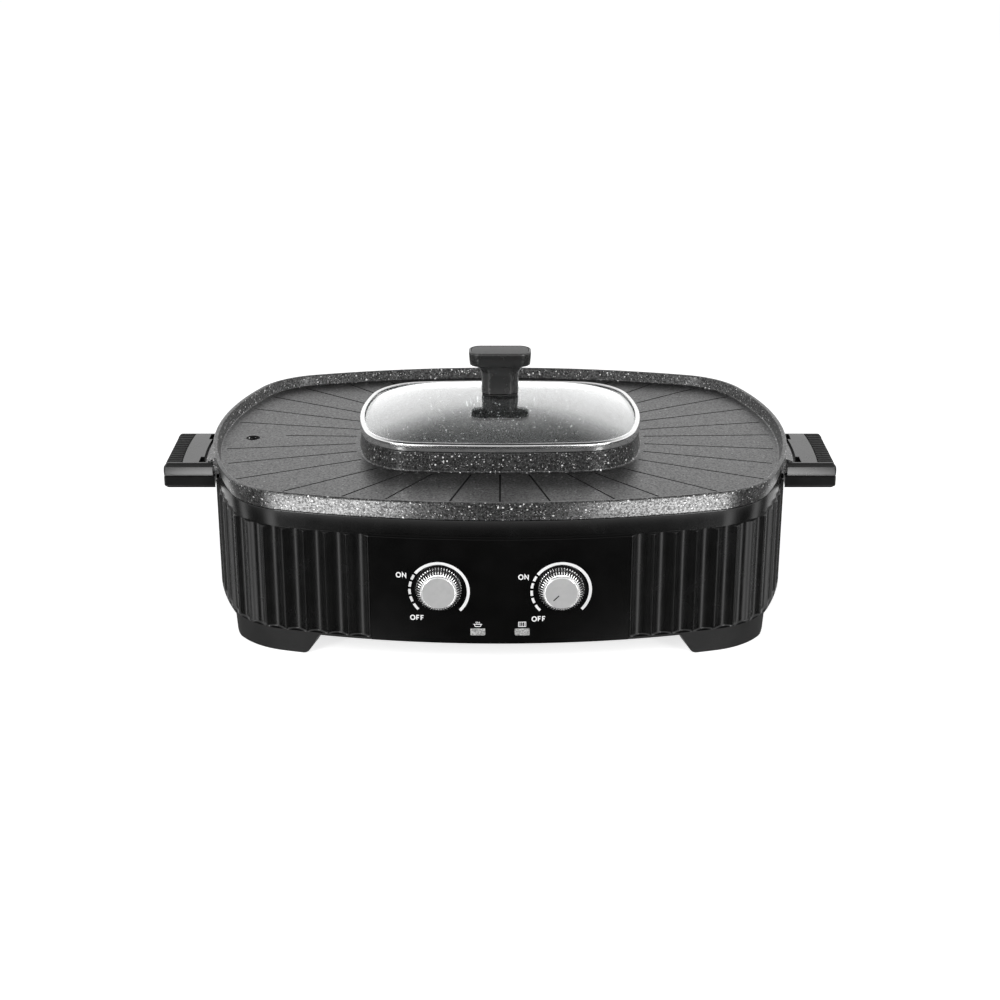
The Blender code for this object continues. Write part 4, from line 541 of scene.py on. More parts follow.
def carve(target, mesh, operation="DIFFERENCE"):
    """Cuts mesh out of target, or joins it on."""
    cutter = add_object("cutter", finished_mesh("cutter", mesh))
    modifier = target.modifiers.new("carve", "BOOLEAN")
    modifier.operation = operation
    modifier.solver = "EXACT"
    modifier.object = cutter
    graph = bpy.context.evaluated_depsgraph_get()
    result = bpy.data.meshes.new_from_object(target.evaluated_get(graph))
    target.modifiers.remove(modifier)
    old, cut = target.data, cutter.data
    name = old.name
    target.data = result
    bpy.data.objects.remove(cutter, do_unlink=True)
    bpy.data.meshes.remove(old)
    bpy.data.meshes.remove(cut)
    result.name = name
    smooth(result)


# Finishes


def grey(level):
    return (level, level, level, 1)


class Nodes:
    """Short ways to add nodes to a material, world or lamp."""

    def __init__(self, owner, keep=False):
        owner.use_nodes = True
        self.tree = owner.node_tree
        if not keep:
            self.tree.nodes.clear()

    def give(self, socket, value):
        """Links the socket to another one, or sets its value."""
        if isinstance(value, bpy.types.NodeSocket):
            self.tree.links.new(value, socket)
        else:
            socket.default_value = value

    def node(self, kind, settings=None, **values):
        made = self.tree.nodes.new("ShaderNode" + kind)
        for key, value in (settings or {}).items():
            setattr(made, key, value)
        for key, value in values.items():
            self.give(made.inputs[key.replace("_", " ")], value)
        return made

    def join(self, kind, *values, **settings):
        """The first output of a node whose inputs take values in order."""
        made = self.node(kind, settings)
        for socket, value in zip(made.inputs, values):
            self.give(socket, value)
        return made.outputs[0]

    def maths(self, operation, *values):
        """Values or sockets put together by maths nodes, two at a time."""
        total = values[0]
        for value in values[1:] or (0.0,):
            total = self.join("Math", total, value, operation=operation)
        return total

    def ramp(self, angle, stops):
        """Levels at angles in degrees, from -180 to 180, with straight lines between them."""
        turn = self.maths("ADD", self.maths("DIVIDE", angle, math.tau), 0.5)
        made = self.node("ValToRGB", Fac=turn)
        line = made.color_ramp
        ends = (line.elements[0], line.elements[1])
        for element, (degrees, level) in zip(ends, (stops[0], stops[-1])):
            element.position = degrees / 360 + 0.5
            element.color = grey(level)
        for degrees, level in stops[1:-1]:
            line.elements.new(degrees / 360 + 0.5).color = grey(level)
        return made.outputs["Color"]

    def seen(self):
        """1 for what the camera sees, straight or through glass, and whether gloss shows it."""
        path = self.node("LightPath").outputs
        seen = self.maths("MAXIMUM", path["Is Camera Ray"], path["Is Transmission Ray"])
        return seen, path["Is Glossy Ray"]


class Finish(Nodes):
    """A material being made round its Principled shader."""

    def __init__(self, name, colour, roughness, **fixed):
        self.made = bpy.data.materials.new(name)
        super().__init__(self.made, keep=True)
        self.shader = self.tree.nodes["Principled BSDF"]
        self.feed("Base Color", colour)
        self.feed("Roughness", roughness)
        for socket, value in fixed.items():
            self.feed(socket.replace("_", " "), value)
        self.place = self.node("TexCoord").outputs["Object"]

    def feed(self, socket, value):
        self.give(self.shader.inputs[socket], value)

    def noise(self, scale, detail, stretch=(1, 1, 1)):
        place = self.node("Mapping", Vector=self.place, Scale=stretch).outputs["Vector"]
        return self.node("TexNoise", Vector=place, Scale=scale, Detail=detail).outputs["Fac"]

    def spread(self, value, low, high, start=0.0, stop=1.0):
        """Maps low..high of a value to start..stop, and keeps within them."""
        return self.join("MapRange", value, low, high, start, stop)

    def blend(self, share, first, second):
        """A colour between first and second, each a colour or a socket."""
        made = self.node("Mix", {"data_type": "RGBA"}, Factor=share)
        self.give(made.inputs[6], first)
        self.give(made.inputs[7], second)
        return made.outputs[2]

    def bump(self, height, distance, strength=1.0):
        bump = self.node("Bump", Height=height, Strength=strength, Distance=distance)
        self.feed("Normal", bump.outputs["Normal"])

    def vary(self, colour, other, roughness, scale=60.0, stretch=(1, 1, 1)):
        """Colour and roughness that drift over the surface."""
        drift = self.noise(scale, 4.0, stretch)
        self.feed("Base Color", self.blend(self.spread(drift, 0.35, 0.65), colour, other))
        self.feed("Roughness", self.spread(drift, 0.3, 0.7, *roughness))


def moulded(name, colour, other, roughness, grain=0.0, **fixed):
    """Moulded plastic, rubber or paint: a faint drift of colour, and a fine grain where it is matt."""
    made = Finish(name, colour, roughness[0], **fixed)
    made.vary(colour, other, roughness)
    if grain:
        made.bump(made.noise(1400.0, 2.0), grain)
    return made.made


def metal(name, colour, other, roughness, stretch, scale, metallic):
    """Metal with drawn or brushed lines along the axis that stretch squeezes."""
    made = Finish(name, colour, roughness[0], Metallic=metallic)
    made.vary(colour, other, roughness, scale, stretch)
    made.bump(made.noise(scale * 4, 2.0, stretch), 0.000006)
    return made.made


def coating(name):
    """Black non-stick coating with a coarse orange peel and pale flecks, dense on upright faces."""
    made = Finish(name, grey(0.006), 0.34, IOR=1.55)
    wander = made.node("TexNoise", Vector=made.place, Scale=900.0, Detail=1.0).outputs["Color"]
    shift = made.node("VectorMath", {"operation": "SCALE"}, Vector=wander, Scale=0.0009).outputs["Vector"]
    place = made.join("VectorMath", made.place, shift)
    masks = []
    for scale, share, size, strength in FLECKS:
        voronoi = made.node("TexVoronoi", Vector=place, Scale=scale)
        cell = made.node("SeparateColor", Color=voronoi.outputs["Color"])
        chosen = made.spread(cell.outputs["Red"], 1 - share, 1 - share + 0.01)
        reach = made.maths("MULTIPLY", made.spread(cell.outputs["Green"], 0.0, 1.0, 0.35, 1.0), size)
        inside = made.maths("LESS_THAN", voronoi.outputs["Distance"], reach)
        masks.append(made.maths("MULTIPLY", chosen, inside, strength))
    up = made.node("SeparateXYZ", Vector=made.node("NewGeometry").outputs["Normal"]).outputs["Z"]
    level = made.spread(up, 0.90, 0.98, 1.0, 0.16)
    flecks = made.maths("MULTIPLY", made.maths("MAXIMUM", *masks), level)
    grains = made.spread(made.noise(850.0, 2.0), 0.32, 0.68)
    ground = made.blend(grains, grey(0.004), grey(0.016))
    made.feed("Base Color", made.blend(flecks, ground, grey(0.75)))
    made.feed("Roughness", made.spread(made.noise(500.0, 2.0), 0.3, 0.7, 0.28, 0.38))
    made.feed("Specular IOR Level", made.spread(made.noise(620.0, 2.0), 0.36, 0.64, 0.22, 1.0))
    made.bump(made.maths("ADD", grains, made.maths("MULTIPLY", flecks, 0.20)), 0.00004, 0.8)
    return made.made


def clear_glass(name):
    """Glass that lets lamps through to what is under it."""
    made = Finish(name, (0.80, 0.82, 0.82, 1), 0.015, Transmission_Weight=1.0, IOR=1.9)
    made.bump(made.noise(30.0, 1.0), 0.00002)
    shadow = made.node("LightPath").outputs["Is Shadow Ray"]
    clear = made.node("BsdfTransparent", Color=(0.86, 0.88, 0.88, 1)).outputs["BSDF"]
    mixed = made.join("MixShader", shadow, made.shader.outputs["BSDF"], clear)
    made.give(made.tree.nodes["Material Output"].inputs["Surface"], mixed)
    return made.made


def frosted_lens(name):
    """Frosted grey plastic over a diffusing grid."""
    made = Finish(name, grey(0.36), 0.3, Transmission_Weight=0.15, Specular_IOR_Level=0.5)
    mottle = made.spread(made.noise(900.0, 3.0), 0.38, 0.62)
    made.feed("Base Color", made.blend(mottle, grey(0.22), (0.62, 0.62, 0.61, 1)))
    cells = made.node("TexVoronoi", Vector=made.place, Scale=900.0).outputs["Distance"]
    made.bump(cells, 0.00015, 0.6)
    return made.made


# Cells per metre, the share of them that hold a fleck, the fleck's size in its cell, and its strength
FLECKS = ((330.0, 0.34, 0.28, 1.0), (620.0, 0.42, 0.30, 0.70), (1100.0, 0.40, 0.32, 0.40))
# Plastics: name, lowest and highest grey, roughness, grain, gloss
PLASTICS = {
    "housing": ("housing_plastic", 0.0020, 0.0026, (0.24, 0.28), 0.0, 0.42),
    "foot": ("foot_plastic", 0.012, 0.016, (0.50, 0.58), 0.00002, 0.22),
    "panel": ("panel_plastic", 0.0020, 0.0026, (0.22, 0.26), 0.0, 0.18),
    "handle": ("handle_plastic", 0.0080, 0.0100, (0.24, 0.28), 0.0, 0.50),
    "handle_base": ("handle_base_plastic", 0.0060, 0.0080, (0.28, 0.34), 0.0, 0.40),
    "grip": ("grip_rubber", 0.010, 0.015, (0.55, 0.65), 0.00004, 0.20),
    "knob": ("lid_knob_plastic", 0.0160, 0.0200, (0.24, 0.30), 0.00001, 0.50),
    "inlay": ("inlay_plastic", 0.085, 0.125, (0.50, 0.58), 0.00010, 0.35),
    "rubber": ("foot_rubber", 0.012, 0.020, (0.75, 0.85), 0.00006, 0.30),
    "satin": ("satin_plastic", 0.012, 0.017, (0.42, 0.50), 0.00004, 0.30),
    # Painted shade: a darker, duller finish than the coating, laid inside the score lines
    "score": ("score_line_painted_shade", 0.003, 0.005, (0.5, 0.6), 0.0, 0.15),
    # Painted shade: a dark, dull finish laid in the grooves of the bright metal knurl
    "groove": ("knob_groove_shade", 0.012, 0.020, (0.60, 0.70), 0.0, 0.10),
    "mark": ("mark_paint", 0.004, 0.006, (0.5, 0.6), 0.0, 0.10),
    "print": ("white_print", 0.86, 0.90, (0.5, 0.6), 0.0, 0.20),
}
# Metals: name, lowest and highest grey, roughness, stretch and scale of the lines, share of metal
METALS = {
    "skirt": ("bright_knob_metal", 0.70, 0.78, (0.16, 0.22), (1, 1, 1), 300.0, 1.0),
    "cap": ("satin_cap_metal", 0.43, 0.46, (0.50, 0.58), (1, 1, 1), 300.0, 0.35),
    "steel": ("lid_band_steel", 0.72, 0.77, (0.12, 0.18), (1, 1, 12), 120.0, 1.0),
    "zinc": ("zinc_plate", 0.53, 0.61, (0.30, 0.44), (1, 1, 1), 220.0, 1.0),
    "shield": ("aluminised_sheet", 0.51, 0.60, (0.34, 0.48), (1, 1, 1), 160.0, 1.0),
}
# The finish of each node that keeps its own mesh, by how its name starts; the clips come before their heaters
NODE_FINISHES = {
    "satin": ("bottom_cover", "power_inlet"),
    "zinc": ("base_screw", "pot_heater_clip", "grill_heater_clip", "control_bracket", "handle_screw"),
    "rubber": ("foot_pad", "lid_knob_washer"),
    "shield": ("heat_shield", "grease_cup"),
    "tube": ("pot_heater", "grill_heater"),
    "ceramic": ("thermostat", "terminal_block"),
    "board": ("indicator_board",),
    "steel": ("lid_screw",),
}


def make_finishes():
    """Every finish by its key."""
    made = {}
    for key, (name, low, high, roughness, grain, gloss) in PLASTICS.items():
        made[key] = moulded(name, grey(low), grey(high), roughness, grain, Specular_IOR_Level=gloss)
    for key, (name, low, high, *rest) in METALS.items():
        made[key] = metal(name, grey(low), grey(high), *rest)
    made["coating"] = coating("speckled_coating")
    dark, light = (0.13, 0.12, 0.11, 1), (0.20, 0.17, 0.15, 1)
    made["tube"] = metal("heater_tube", dark, light, (0.45, 0.60), (1, 1, 1), 260.0, 0.8)
    dark, light = (0.03, 0.15, 0.06, 1), (0.05, 0.20, 0.08, 1)
    made["board"] = moulded("circuit_board", dark, light, (0.45, 0.55))
    dark, light = (0.52, 0.50, 0.45, 1), (0.60, 0.57, 0.52, 1)
    made["ceramic"] = moulded("switch_ceramic", dark, light, (0.50, 0.65), 0.00006)
    made["glass"] = clear_glass("tempered_glass")
    made["lens"] = frosted_lens("lamp_lens")
    return made


FINISHES = make_finishes()


def finish_nodes():
    for name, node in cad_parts.items():
        for key, starts in NODE_FINISHES.items():
            if name.startswith(starts) or (key == "zinc" and name.endswith("_shaft")):
                node.data.materials.clear()
                node.data.materials.append(FINISHES[key])
                break


# Housing

# The lower edge beside a foot, as (distance, z) from the front's middle outwards
FOOT_EDGE = rounded(
    (FOOT_START - FOOT_SLANT, FOOT_HEIGHT, 0),
    (FOOT_START, FOOT_HEIGHT, FOOT_START_ROUND),
    (FOOT_START + FOOT_SLANT, FOOT_GROUND, FOOT_ROUND),
    (FOOT_END - FOOT_END_SLANT, FOOT_GROUND, FOOT_ROUND),
    (FOOT_END, FOOT_HEIGHT, FOOT_END_ROUND),
    (FOOT_END + FOOT_SLANT, FOOT_HEIGHT, 0),
    steps=8,
)


def low_edge(distance):
    """How high the housing's lower edge is at a place along the outline."""
    distance %= RIM.length
    distance = min(distance, RIM.length - distance)
    distance = min(distance, RIM.length / 2 - distance)
    if distance <= FOOT_EDGE[0].x or distance >= FOOT_EDGE[-1].x:
        return FOOT_HEIGHT
    for start, stop in zip(FOOT_EDGE, FOOT_EDGE[1:]):
        if distance <= stop.x:
            share = (distance - start.x) / max(stop.x - start.x, TINY)
            return start.y + (stop.y - start.y) * share
    return FOOT_HEIGHT


def column_base(middle, valley, across):
    return middle + valley * across if valley else middle


def with_foot_columns(columns):
    """The half outline's columns with more of them where the feet's edges bend."""
    half = RIM.length / 2
    made = [(column_base(*column), column) for column in columns]
    flutes = sorted({column[:2] for column in columns if column[1]})
    for distance in [point.x for point in FOOT_EDGE] + [half - point.x for point in FOOT_EDGE]:
        if min(abs(distance - base) for base, _ in made) < COLUMN_GAP:
            continue
        column = (distance, None, 0.0)
        for middle, valley in flutes:
            if abs(distance - middle) < valley:
                column = (middle, valley, (distance - middle) / valley)
        made.append((distance, column))
    return [column for _, column in sorted(made, key=lambda entry: entry[0])]


def flute_columns():
    """Every upright line of the wall, as (middle, half width of its flute, place across it from -1 to 1).

    Off the flutes it is (place, None, how far it is drawn in), or (place, None, "seat") behind the panel.
    """
    half = RIM.length / 2
    columns = [(place, None, "seat") for place in span(0, PANEL_HALF_WIDTH, SEAT_COLUMNS)]
    room = half - REAR_HALF_WIDTH - CREST_WIDTH - PANEL_HALF_WIDTH
    count = round(room / FLUTE_PITCH)
    pitch = room / count
    valley = (pitch - CREST_WIDTH) / 2
    for index in range(count + 1):
        start = PANEL_HALF_WIDTH + index * pitch
        for share in CREST_SHARES:
            first = index == 0 and share < 0.5
            last = index == count and share > 0.5
            drop = 0.0 if first or last else CREST_DROP * (2 * share - 1) ** 2
            if (index == 0 or share > 0) and (index == count or share < 1):
                columns.append((start + CREST_WIDTH * share, None, drop))
        if index < count:
            middle = start + CREST_WIDTH + valley
            columns += [(middle, valley, across) for across in span(-1, 1, FLUTE_COLUMNS)]
    columns += [(place, None, 0.0) for place in span(half - REAR_HALF_WIDTH, half, REAR_COLUMNS)[1:]]
    columns = with_foot_columns(columns)
    mirrored = []
    for middle, valley, across in reversed(columns[1:-1]):
        mirrored.append((RIM.length - middle, valley, -across if valley else across))
    return columns + mirrored


def flute_point(middle, valley, across, outer, width, depth, z, trim):
    """A point on the wall's outside, as (distance, inset, z)."""
    if not valley:
        drop = 0.0 if across == "seat" else across * depth
        return (middle, min(outer + max(trim, drop), BAND_INSET), z)
    hollow = FLUTE_DEPTH * (1 - across**2) ** FLUTE_CURVE + CREST_DROP * across**8
    return (middle + valley * width * across, outer + max(hollow * depth, trim), z)


def wall_section(middle, valley, across):
    """A closed upright section of the wall: under the lip, up the outside, over the band, down inside."""
    base = column_base(middle, valley, across)
    seat = across == "seat"
    outer = SEAT_INSET if seat else CREST_INSET
    edge = low_edge(base)
    foot = FOOT_HEIGHT - edge
    deep = foot > COLUMN_GAP / 2
    back = FOOT_BACK if deep else INNER_INSET
    roof = FOOT_HEIGHT - CLEARANCE if deep else FOOT_HEIGHT
    low = outer + FOOT_TAPER * foot / FOOT_HEIGHT
    points = [(base, INNER_INSET, roof), (base, back, max(roof, edge)), (base, back, edge)]
    for turn in span(0, math.pi / 2, 3):
        inset = low + LIP_ROUND * (1 - math.sin(turn))
        points.append((base, inset, edge + LIP_ROUND * (1 - math.cos(turn))))
    for share in span(0, 1, 4)[1:-1]:
        z = edge + LIP_ROUND + (LIP_Z - edge - LIP_ROUND) * share
        points.append((base, low + (outer - low) * share, z))
    points.append((base, outer, LIP_Z))
    for turn in span(0, math.pi / 2, 8):
        rise = SLOT_END * (1 - math.cos(turn))
        width = 1.0
        if valley and rise < SLOT_CORNER:
            width = (valley - SLOT_CORNER + math.sqrt(SLOT_CORNER**2 - (SLOT_CORNER - rise) ** 2)) / valley
        depth = math.sqrt(1 - (1 - min(1.0, rise / SLOT_SCOOP)) ** 2)
        points.append(flute_point(middle, valley, across, outer, width, depth, LIP_Z + rise, 0.0))
    for turn in span(0, math.pi / 2, 5):
        z = FLUTE_TOP_Z - CREST_ROUND * (1 - math.sin(turn))
        trim = 0.0 if seat else CREST_ROUND * (1 - math.cos(turn))
        points.append(flute_point(middle, valley, across, outer, 1.0, 1.0, z, trim))
    points.append((base, BAND_INSET, FLUTE_TOP_Z))
    points.append((base, BAND_INSET, HOUSING_TOP_Z - BAND_CHAMFER))
    drop = BAND_CHAMFER * BAND_CHAMFER_SHARE
    points.append((base, BAND_INSET + drop, HOUSING_TOP_Z - drop))
    points.append((base, BAND_INSET + BAND_CHAMFER, HOUSING_TOP_Z))
    points.append((base, INNER_INSET, HOUSING_TOP_Z))
    return [RIM.place(*point) for point in points]


def make_housing():
    sections = [wall_section(*column) for column in flute_columns()]
    shell = piece("housing_shell", lofted(sections, closed=True), "housing", "base", "housing")
    repaint(shell, "foot", lambda face: face.center.z < LIP_Z)


def make_panel():
    """The smooth bowed fascia, with a dark base ring behind each knob."""
    half = PANEL_HALF_WIDTH - CLEARANCE
    inner = CREST_INSET + PANEL_THICKNESS
    top = FLUTE_TOP_Z - CLEARANCE
    profile = rounded(
        (CREST_INSET, FOOT_HEIGHT, PANEL_FOOT_ROUND),
        (CREST_INSET, top, PANEL_TOP_ROUND),
        (inner, top, 0),
        (inner, FOOT_HEIGHT, 0),
        closed=True,
    )
    rings = [[RIM.place(distance, *point) for point in profile] for distance in span(-half, half, 72)]
    panel = piece("fascia", lofted(rings), "panel", "base", "control_panel")
    holes = bmesh.new()
    reach = LENS_HALF_WIDTH + CLEARANCE
    rise = LENS_HALF_HEIGHT + CLEARANCE
    front = RIM.front_y(0, 0) - OVERRUN
    back = front + 4 * OVERRUN
    for side in SIDES.values():
        x = side * LAMP_SPACING / 2
        box(holes, (x - reach, front, LAMP_Z - rise), (x + reach, back, LAMP_Z + rise))
        loft(holes, [knob_ring(side * KNOB_SPACING / 2, y, BEZEL_HOLE, 32) for y in (front, back)])
    carve(panel, holes)
    for name, side in SIDES.items():
        x = side * KNOB_SPACING / 2
        rings = [knob_ring(x, BEZEL_Y, radius, 96) for radius in (BEZEL_HOLE, BEZEL_RADIUS - BEZEL_GAP)]
        rings.append(knob_ring(x, BEZEL_Y + BEZEL_GAP, BEZEL_RADIUS, 96))
        for radius in (BEZEL_RADIUS, BEZEL_HOLE):
            ring = knob_ring(x, 0, radius, 96)
            rings.append([(p.x, RIM.front_y(p.x, CREST_INSET + PANEL_THICKNESS / 2), p.z) for p in ring])
        piece(f"knob_bezel_{name}", lofted(rings, closed=True), "panel", "base")


def make_lenses():
    for name in SIDES:
        low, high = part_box(f"lamp_lens_{name}")
        centre, half = (low + high) / 2, (high - low) / 2
        profile = rounded((2 * LENS_ROUND, low.y, 0), (0, low.y, LENS_ROUND), (0, high.y, 0))
        rings = []
        for inset, y in profile:
            flat = rounded_rectangle(half.x - inset, half.z - inset, LENS_CORNER, 0, 4)
            rings.append([(centre.x + p.x, y - CENTRE_Y, centre.z + p.y) for p in flat])
        piece(f"lens_{name}", lofted(rings), "lens", "base", f"lamp_lens_{name}")


# Print


def stroke(mesh, path, width, closed=False):
    """A flat line of paint along (x, z) points on the panel."""
    points = [Vector(point) for point in path]
    count = len(points)
    rings = []
    for index, point in enumerate(points):
        before = points[index - 1] if closed or index else points[0]
        after = points[(index + 1) % count] if closed or index < count - 1 else points[-1]
        one = (point - before).normalized() if point != before else (after - point).normalized()
        two = (after - point).normalized() if point != after else one
        along = (one + two).normalized()
        normal = Vector((-along.y, along.x))
        reach = width / 2 / max(0.4, normal.dot(Vector((-one.y, one.x))))
        left, right = point + normal * reach, point - normal * reach
        ring = ((left, PRINT_PROUD), (right, PRINT_PROUD), (right, -PRINT_PROUD), (left, -PRINT_PROUD))
        rings.append([(edge.x, RIM.front_y(edge.x, CREST_INSET) - lift, edge.y) for edge, lift in ring])
    loft(mesh, rings, closed)


def dial_arc(mesh, x, start, stop, width):
    path = []
    for degrees in span(start, stop, max(4, round(abs(stop - start) / DIAL_STEP))):
        turn = math.radians(degrees)
        path.append((x + DIAL_RADIUS * math.sin(turn), DIAL_Z + DIAL_RADIUS * math.cos(turn)))
    stroke(mesh, path, width)


def letters(mesh, word, x, z):
    """The word's capitals as strokes, with its middle at (x, z)."""
    high = LETTER_HEIGHT - LETTER_STROKE
    gap = LETTER_GAP + LETTER_STROKE
    low, top = z - high / 2, z + high / 2
    widths = [LETTER_WIDTHS[letter] - LETTER_STROKE for letter in word]
    left = x - (sum(widths) + gap * (len(word) - 1)) / 2
    for letter, width in zip(word, widths):
        right = left + width
        if letter == "O":
            loop = circle((0, 0, 0), 1, 24)
            path = [(left + width / 2 * (1 + point.x), z + high / 2 * point.y) for point in loop]
            stroke(mesh, path, LETTER_STROKE, True)
        elif letter == "N":
            stroke(mesh, [(left, low), (left, top), (right, low), (right, top)], LETTER_STROKE)
        else:
            stroke(mesh, [(right, top), (left, top), (left, low)], LETTER_STROKE)
            stroke(mesh, [(left, z), (right - LETTER_BAR_CUT, z)], LETTER_STROKE)
        left = right + gap


def pot_sign(mesh, x, z):
    """A steaming pot."""
    half, low = POT_HALF_WIDTH, z - POT_DEPTH
    bowl = [(x - half, z), (x - half, low + POT_BEND), (x - half + POT_BEND, low)]
    bowl += [(2 * x - across, up) for across, up in reversed(bowl)]
    stroke(mesh, bowl, SIGN_STROKE)
    stroke(mesh, [(x - half - POT_EARS, z), (x + half + POT_EARS, z)], SIGN_STROKE)
    for place in STEAM_PLACES:
        stroke(mesh, [(x + place + sway, z + rise) for sway, rise in STEAM], SIGN_THIN_STROKE)


def grill_sign(mesh, x, z):
    """A grate seen from above."""
    half, rise = GRATE
    corners = ((-half, -rise), (half, -rise), (half, rise), (-half, rise))
    stroke(mesh, [(x + across, z + up) for across, up in corners], SIGN_STROKE, True)
    for share in GRATE_BARS:
        stroke(mesh, [(x + half * share, z - rise), (x + half * share, z + rise)], SIGN_THIN_STROKE)


def make_print():
    mesh = bmesh.new()
    for side in SIDES.values():
        x = side * KNOB_SPACING / 2
        dial_arc(mesh, x, *DIAL_ARC, DIAL_STROKE)
        for dash in DIAL_DASHES:
            dial_arc(mesh, x, *dash, DASH_STROKE)
        for word, shift, z in WORDS:
            letters(mesh, word, x + shift, z)
    pot_sign(mesh, -LAMP_SPACING / 2, LAMP_Z + SIGN_RISE)
    grill_sign(mesh, LAMP_SPACING / 2, LAMP_Z + SIGN_RISE)
    piece("panel_print", mesh, "print", "base", crisp=None)


# Knobs


def ridged(x, y, radius, depth):
    """A ring round a knob's axis, drawn in by depth between its teeth."""
    points = []
    for angle in span(0, math.tau, KNOB_RIDGES * KNOB_RIDGE_STEPS)[:-1]:
        reach = radius - depth * (0.5 - 0.5 * math.cos(angle * KNOB_RIDGES))
        points.append((x + reach * math.cos(angle), y, KNOB_Z + reach * math.sin(angle)))
    return points


def make_knob(name, side):
    x = side * KNOB_SPACING / 2
    body = f"knob_{name}"
    tip = KNOB_CAP_RADIUS + KNOB_SKIRT_LIP
    rings = [ridged(x, KNOB_BACK_Y - KNOB_BORE_DEPTH, KNOB_BORE, 0), ridged(x, KNOB_BACK_Y, KNOB_BORE, 0)]
    for out, draw_in, ridge in KNOB_PROFILE:
        rings.append(ridged(x, KNOB_BACK_Y - out, KNOB_RADIUS - draw_in, KNOB_RIDGE_DEPTH * ridge))
    for back, draw_in in KNOB_LIP:
        rings.append(ridged(x, KNOB_FRONT_Y + back, tip - draw_in, 0))
    skirt = piece(SKIRT.format(name), lofted(rings), "skirt", body, f"{body}_skirt")

    def in_groove(face):
        across, up = face.center.x - x, face.center.z - KNOB_Z
        share = math.atan2(up, across) * KNOB_RIDGES / math.tau % 1
        return KNOB_GROOVE[0] < share < KNOB_GROOVE[1] and math.hypot(across, up) > tip + CLEARANCE

    # Painted shade: the faces in the grooves between the teeth get a dark, dull finish in place of the bright
    # metal
    repaint(skirt, "groove", in_groove)
    profile = rounded(
        (KNOB_CAP_RADIUS - KNOB_CAP_BEVEL, KNOB_CAP_Y, 0),
        (KNOB_CAP_RADIUS, KNOB_CAP_Y, CLEARANCE),
        (KNOB_CAP_RADIUS, KNOB_FACE_Y + KNOB_CAP_BEVEL / 2, KNOB_CAP_ROUND),
        (KNOB_CAP_RADIUS - KNOB_CAP_BEVEL, KNOB_FACE_Y, KNOB_CAP_ROUND),
        (KNOB_CAP_RADIUS - KNOB_CAP_FLAT_INSET, KNOB_FACE_Y, 0),
        steps=3,
    )
    rings = [knob_ring(x, y, radius, 128) for radius, y in profile]
    cap = piece(f"{body}_face", lofted(rings), "cap", body, f"{body}_cap", crisp=CAP_CRISP_ANGLE)
    repaint(cap, "skirt", lambda face: abs(face.normal.y) < KNOB_CAP_FACING)
    if side > 0:
        along = Vector((math.sin(MARK_TURN), math.cos(MARK_TURN)))
        across = Vector((along.y, -along.x)) * MARK_HALF_WIDTH
        start, stop = (along * place for place in MARK_SPAN)
        corners = (start - across, stop - across, stop + across, start + across)
        depths = (KNOB_FACE_Y - MARK_PROUD, KNOB_FACE_Y + CLEARANCE)
        rings = [[(x + point.x, y, KNOB_Z + point.y) for point in corners] for y in depths]
        piece(f"{body}_mark", lofted(rings), "mark", body, crisp=None)


# Pan


def reach_along(outline, inset, direction):
    """How far the outline lies from its middle in a direction, moved in by inset."""
    best = 0.0
    points = outline.ring(inset, 0)
    for start, stop in zip(points, points[1:] + points[:1]):
        run = stop - start
        turn = direction.x * run.y - direction.y * run.x
        if abs(turn) < TINY:
            continue
        share = (start.x * direction.y - start.y * direction.x) / turn
        reach = (start.x * run.y - start.y * run.x) / turn
        if 0 <= share <= 1 and reach > 0:
            best = reach
    return best


def score_lines():
    """Thin grooves that run out from the middle, one each way along Y and the rest in mirrored pairs."""
    mesh = bmesh.new()
    low = Vector((0, 0, GRILL_Z - SCORE_DEPTH))
    high = Vector((0, 0, GRILL_Z + OVERRUN))
    drain = Vector((DRAIN_INSET - RIM.half_length, 0, 0))
    flare = SCORE_FLOOR_SHARE + (1 - SCORE_FLOOR_SHARE) * (1 + OVERRUN / SCORE_DEPTH)
    for angle in [0, 180] + [side * angle for angle in SCORE_ANGLES for side in (1, -1)]:
        turn = math.radians(angle)
        direction = Vector((math.sin(turn), -math.cos(turn), 0))
        across = Vector((direction.y, -direction.x, 0)) * SCORE_WIDTH / 2
        near = reach_along(LID, -COLLAR_FLARE - 2 * COLLAR_FILLET, direction)
        far = reach_along(RIM, RIM_WALL + RIM_FILLET + SCORE_RIM_GAP, direction)
        if drain.dot(direction) > 0 and abs(drain.cross(direction).z) < SCORE_DRAIN_GAP / 2:
            far = drain.length - SCORE_DRAIN_GAP
        narrow, wide = across * SCORE_FLOOR_SHARE, across * flare
        rings = []
        for middle in (direction * near, direction * far):
            floor, top = middle + low, middle + high
            rings.append([floor - narrow, floor + narrow, top + wide, top - wide])
        loft(mesh, rings)
    return mesh


